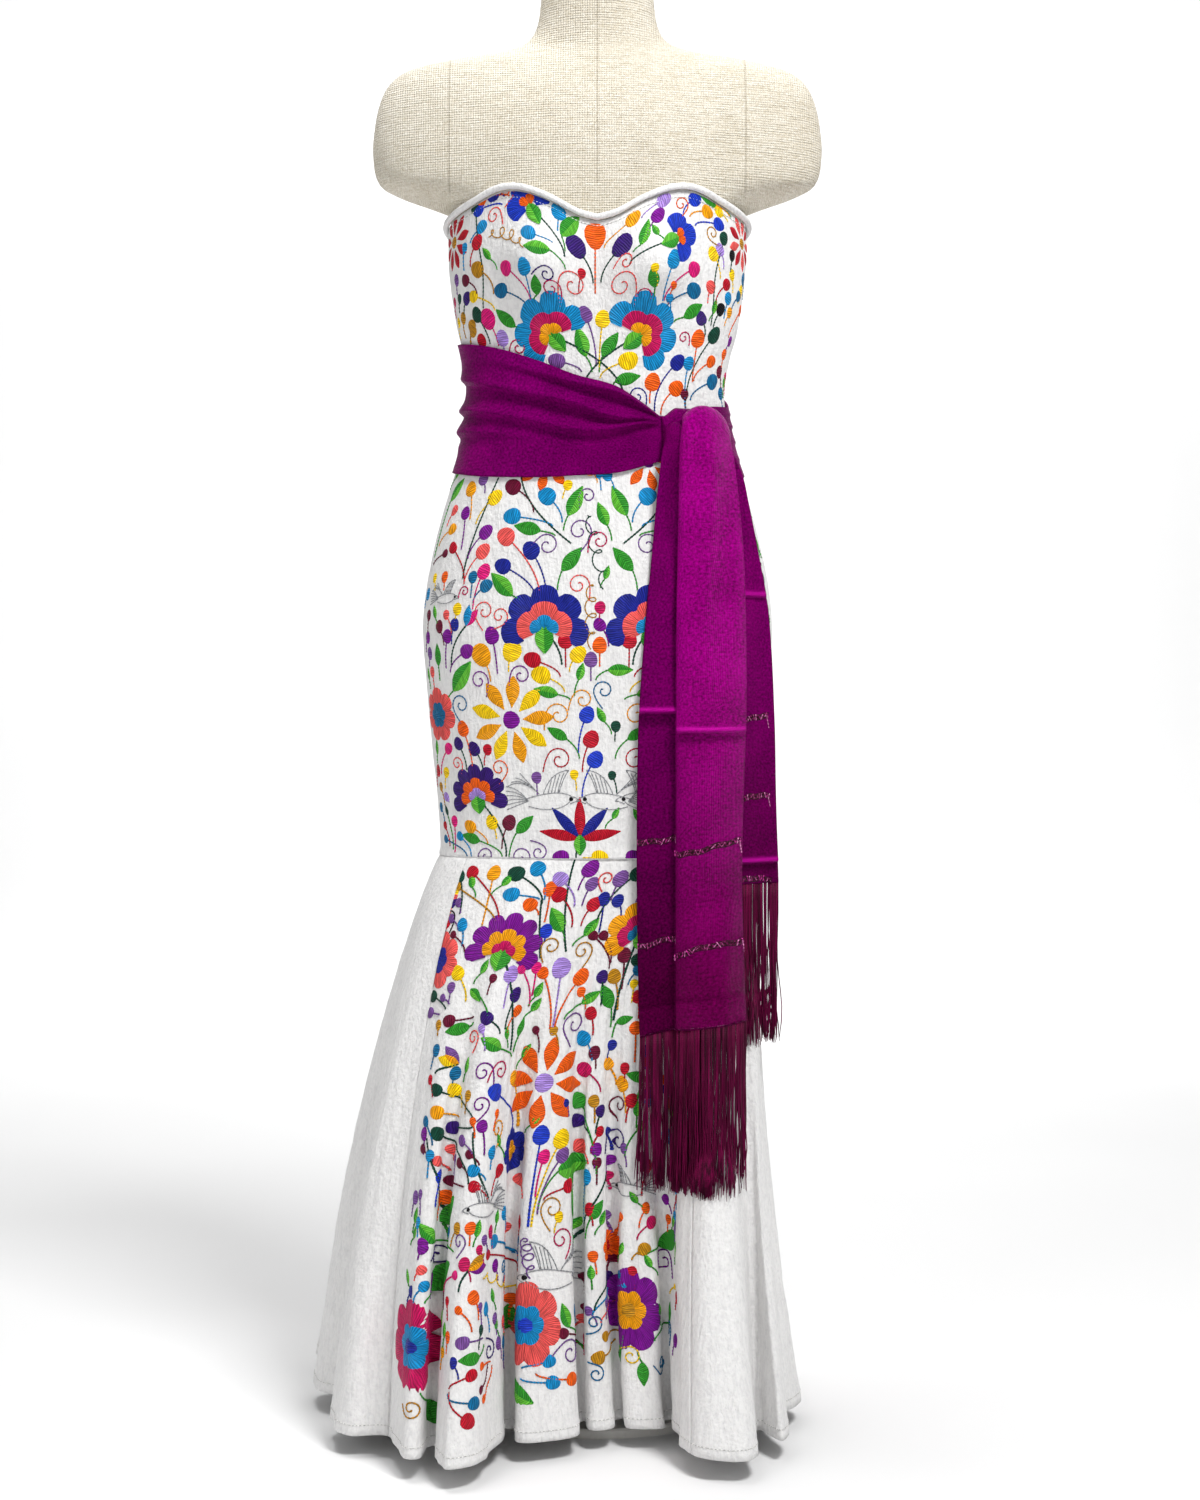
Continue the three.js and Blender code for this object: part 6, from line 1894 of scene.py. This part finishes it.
# %% Linen finish
def linen_material():
    """Coarse unbleached linen: slubby weave, warmer and paler threads mixed, and three upright
    seams as thin bands of |x| around 0 and 146 mm."""
    material, tree, shader = new_material("unbleached linen", Roughness=0.9, Sheen_Weight=0.2,
                                          Specular_IOR_Level=0.2)
    place = node(tree, "ShaderNodeTexCoord").outputs["Object"]
    weave = use_group(tree, WEAVE, place, Threads_per_metre=420.0, Slubs=2.4)
    speckle = node(tree, "ShaderNodeTexNoise", {"Vector": place, "Scale": 420.0, "Detail": 4.0})
    cloudy = node(tree, "ShaderNodeTexNoise", {"Vector": place, "Scale": 7.0, "Detail": 3.0})
    slubs = calc(tree, "MULTIPLY", weave.outputs["Slub"], 0.4)
    mixed = calc(tree, "MULTIPLY_ADD", speckle.outputs["Fac"], 0.6, slubs)
    mixed = calc(tree, "MULTIPLY_ADD", cloudy.outputs["Fac"], 0.25, mixed)
    cloth = two_colours(tree, mixed, "CBBFA6", "F4EEE0", 0.42, 0.78)
    parts = node(tree, "ShaderNodeSeparateXYZ", {0: place})
    above = calc(tree, "GREATER_THAN", parts.outputs["Z"], 1.245)
    seams = 0.0
    for line in (0.0, 0.146):
        away = calc(tree, "SUBTRACT", calc(tree, "ABSOLUTE", parts.outputs["X"]), line)
        near = calc(tree, "LESS_THAN", calc(tree, "ABSOLUTE", away), 0.0009)
        seams = calc(tree, "MAXIMUM", near, seams)
    seams = calc(tree, "MULTIPLY", seams, above)
    dark = node(tree, "ShaderNodeMix", {0: calc(tree, "MULTIPLY", seams, 0.35), 6: cloth, 7: rgb("8A7C62")},
                data_type="RGBA")
    tree.links.new(dark.outputs[2], shader.inputs["Base Color"])
    height = calc(tree, "MULTIPLY_ADD", seams, -3.0, weave.outputs["Height"])
    bump(tree, shader, height, 0.7, 0.0011)
    return material


linen = linen_material()
linen_form.data.materials.append(linen)
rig.ride(linen_form, "root")
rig.replaces(linen_form, "form_torso")
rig.slot(linen_form, "linen")
print("linen nodes:", len(linen.node_tree.nodes))

# %% [markdown]
# ## The stand
# The pole, the foot and the wooden cap of the neck are turned shapes that the frame already has
# right, so they stay and only get their finish: chalky white paint, and oiled beech.

# %% Stand finishes
def paint_material():
    """Matt white paint with a faint orange-peel texture and scuffs in patches of noise."""
    material, tree, shader = new_material("chalk white paint", Roughness=0.45)
    place = node(tree, "ShaderNodeTexCoord").outputs["Object"]
    peel = node(tree, "ShaderNodeTexNoise", {"Vector": place, "Scale": 300.0, "Detail": 3.0})
    scuffs = node(tree, "ShaderNodeTexNoise", {"Vector": place, "Scale": 30.0, "Detail": 6.0})
    tree.links.new(two_colours(tree, scuffs.outputs["Fac"], "D9D7D1", "EDEBE6", 0.3, 0.6),
                   shader.inputs["Base Color"])
    bump(tree, shader, peel.outputs["Fac"], 0.3, 0.0004)
    return material


def wood_material():
    """Turned beech: rings as a wave with noise, a little darker in the pores."""
    material, tree, shader = new_material("oiled beech", Roughness=0.42, Coat_Weight=0.15)
    place = node(tree, "ShaderNodeTexCoord").outputs["Object"]
    rings = node(tree, "ShaderNodeTexWave", {"Vector": place, "Scale": 26.0, "Distortion": 1.6,
                                             "Detail": 3.0, "Detail Scale": 1.4}, wave_type="RINGS")
    pores = node(tree, "ShaderNodeTexNoise", {"Vector": place, "Scale": 240.0, "Detail": 4.0})
    grown = calc(tree, "MULTIPLY", rings.outputs["Fac"], 0.5)
    mixed = calc(tree, "MULTIPLY_ADD", pores.outputs["Fac"], 0.5, grown)
    tree.links.new(two_colours(tree, mixed, "A67A4C", "C39A6A", 0.2, 0.85), shader.inputs["Base Color"])
    bump(tree, shader, mixed, 0.3, 0.0005)
    return material


def finish_node(name, material):
    """Give a kept CAD piece its finish in every material slot."""
    for slot in frame["nodes"][name].material_slots:
        slot.material = material


paint, wood = paint_material(), wood_material()
finish_node("stand_pole", paint)
finish_node("stand_base", paint)
finish_node("form_neck_cap", wood)
print("finishes of kept pieces:", paint.name, "and", wood.name)

# %% [markdown]
# ## Floor and light
# The floor is a plain pale sweep that curves up behind the form. A large soft light from the front
# and upper right gives the folds their shade, and a weaker one from the left fills them.

# %% Floor
def sweep_points(count):
    """Flat floor, a quarter circle, and an upright wall, as one profile carried along X."""
    turn = np.linspace(0, math.pi / 2, 24)
    radius, start, floor = 2.2, 5.0, -7.0
    profile = np.concatenate([
        [[floor, 0.0]], np.stack([start + radius * np.sin(turn), radius - radius * np.cos(turn)], axis=-1),
        [[start + radius, 6.0]],
    ])
    x = np.linspace(-8, 8, count)
    y, z = np.broadcast_to(profile[:, 0, None], (len(profile), count)), profile[:, 1, None]
    return np.stack(np.broadcast_arrays(x[None, :], y, z), axis=-1) / MM


sweep = sweep_points(9)
floor = new_mesh("studio_floor", sweep, grid_faces(*sweep.shape[:2]))
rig.stage(floor)
floor_material, tree, shader = new_material("pale studio floor", Roughness=0.8)
place = node(tree, "ShaderNodeTexCoord").outputs["Object"]
cloud = node(tree, "ShaderNodeTexNoise", {"Vector": place, "Scale": 0.8})
tree.links.new(two_colours(tree, cloud.outputs["Fac"], "F4F4F4", "F8F8F8"), shader.inputs["Base Color"])
floor.data.materials.append(floor_material)
print("floor:", len(floor.data.polygons), "faces")


# %% Lights
def area_light(name, place, target, size, power):
    """A square area light at a place, turned to face a target."""
    data = bpy.data.lights.new(name, "AREA")
    data.energy, data.size = power, size
    lamp = bpy.data.objects.new(name, data)
    lamp.location = place
    away = np.array(place, dtype=float) - np.array(target, dtype=float)
    tilt, turn = math.acos(away[2] / np.linalg.norm(away)), math.atan2(away[1], away[0])
    lamp.rotation_euler = (tilt, 0, turn + math.pi / 2)
    bpy.context.scene.collection.objects.link(lamp)
    return lamp


MIDDLE = (0, 0, 0.8)
area_light("key", (1.0, -1.7, 3.2), MIDDLE, 0.8, 84)
area_light("fill", (-2.0, -2.6, 1.6), MIDDLE, 1.6, 14)
area_light("top", (-0.5, 0.3, 3.4), MIDDLE, 1.0, 34)
area_light("backdrop", (0, 3.4, 4.2), (0, 7.2, 1.2), 3.0, 190)
print("lights:", [lamp.name for lamp in bpy.data.objects if lamp.type == "LIGHT"])
world = bpy.data.worlds.new("studio")
bpy.context.scene.world = world
world.use_nodes = True
world.node_tree.nodes["Background"].inputs["Color"].default_value = (1, 1, 1, 1)
world.node_tree.nodes["Background"].inputs["Strength"].default_value = 0.3
bpy.context.scene.view_settings.view_transform = "Standard"

# %% Finish
with open("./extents.json", "w") as sizes:
    json.dump({"cad": [list(map(float, corner)) for corner in cad_box],
               "scene": [list(map(float, corner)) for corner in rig.bounds()]}, sizes)
print("model box (m):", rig.bounds())
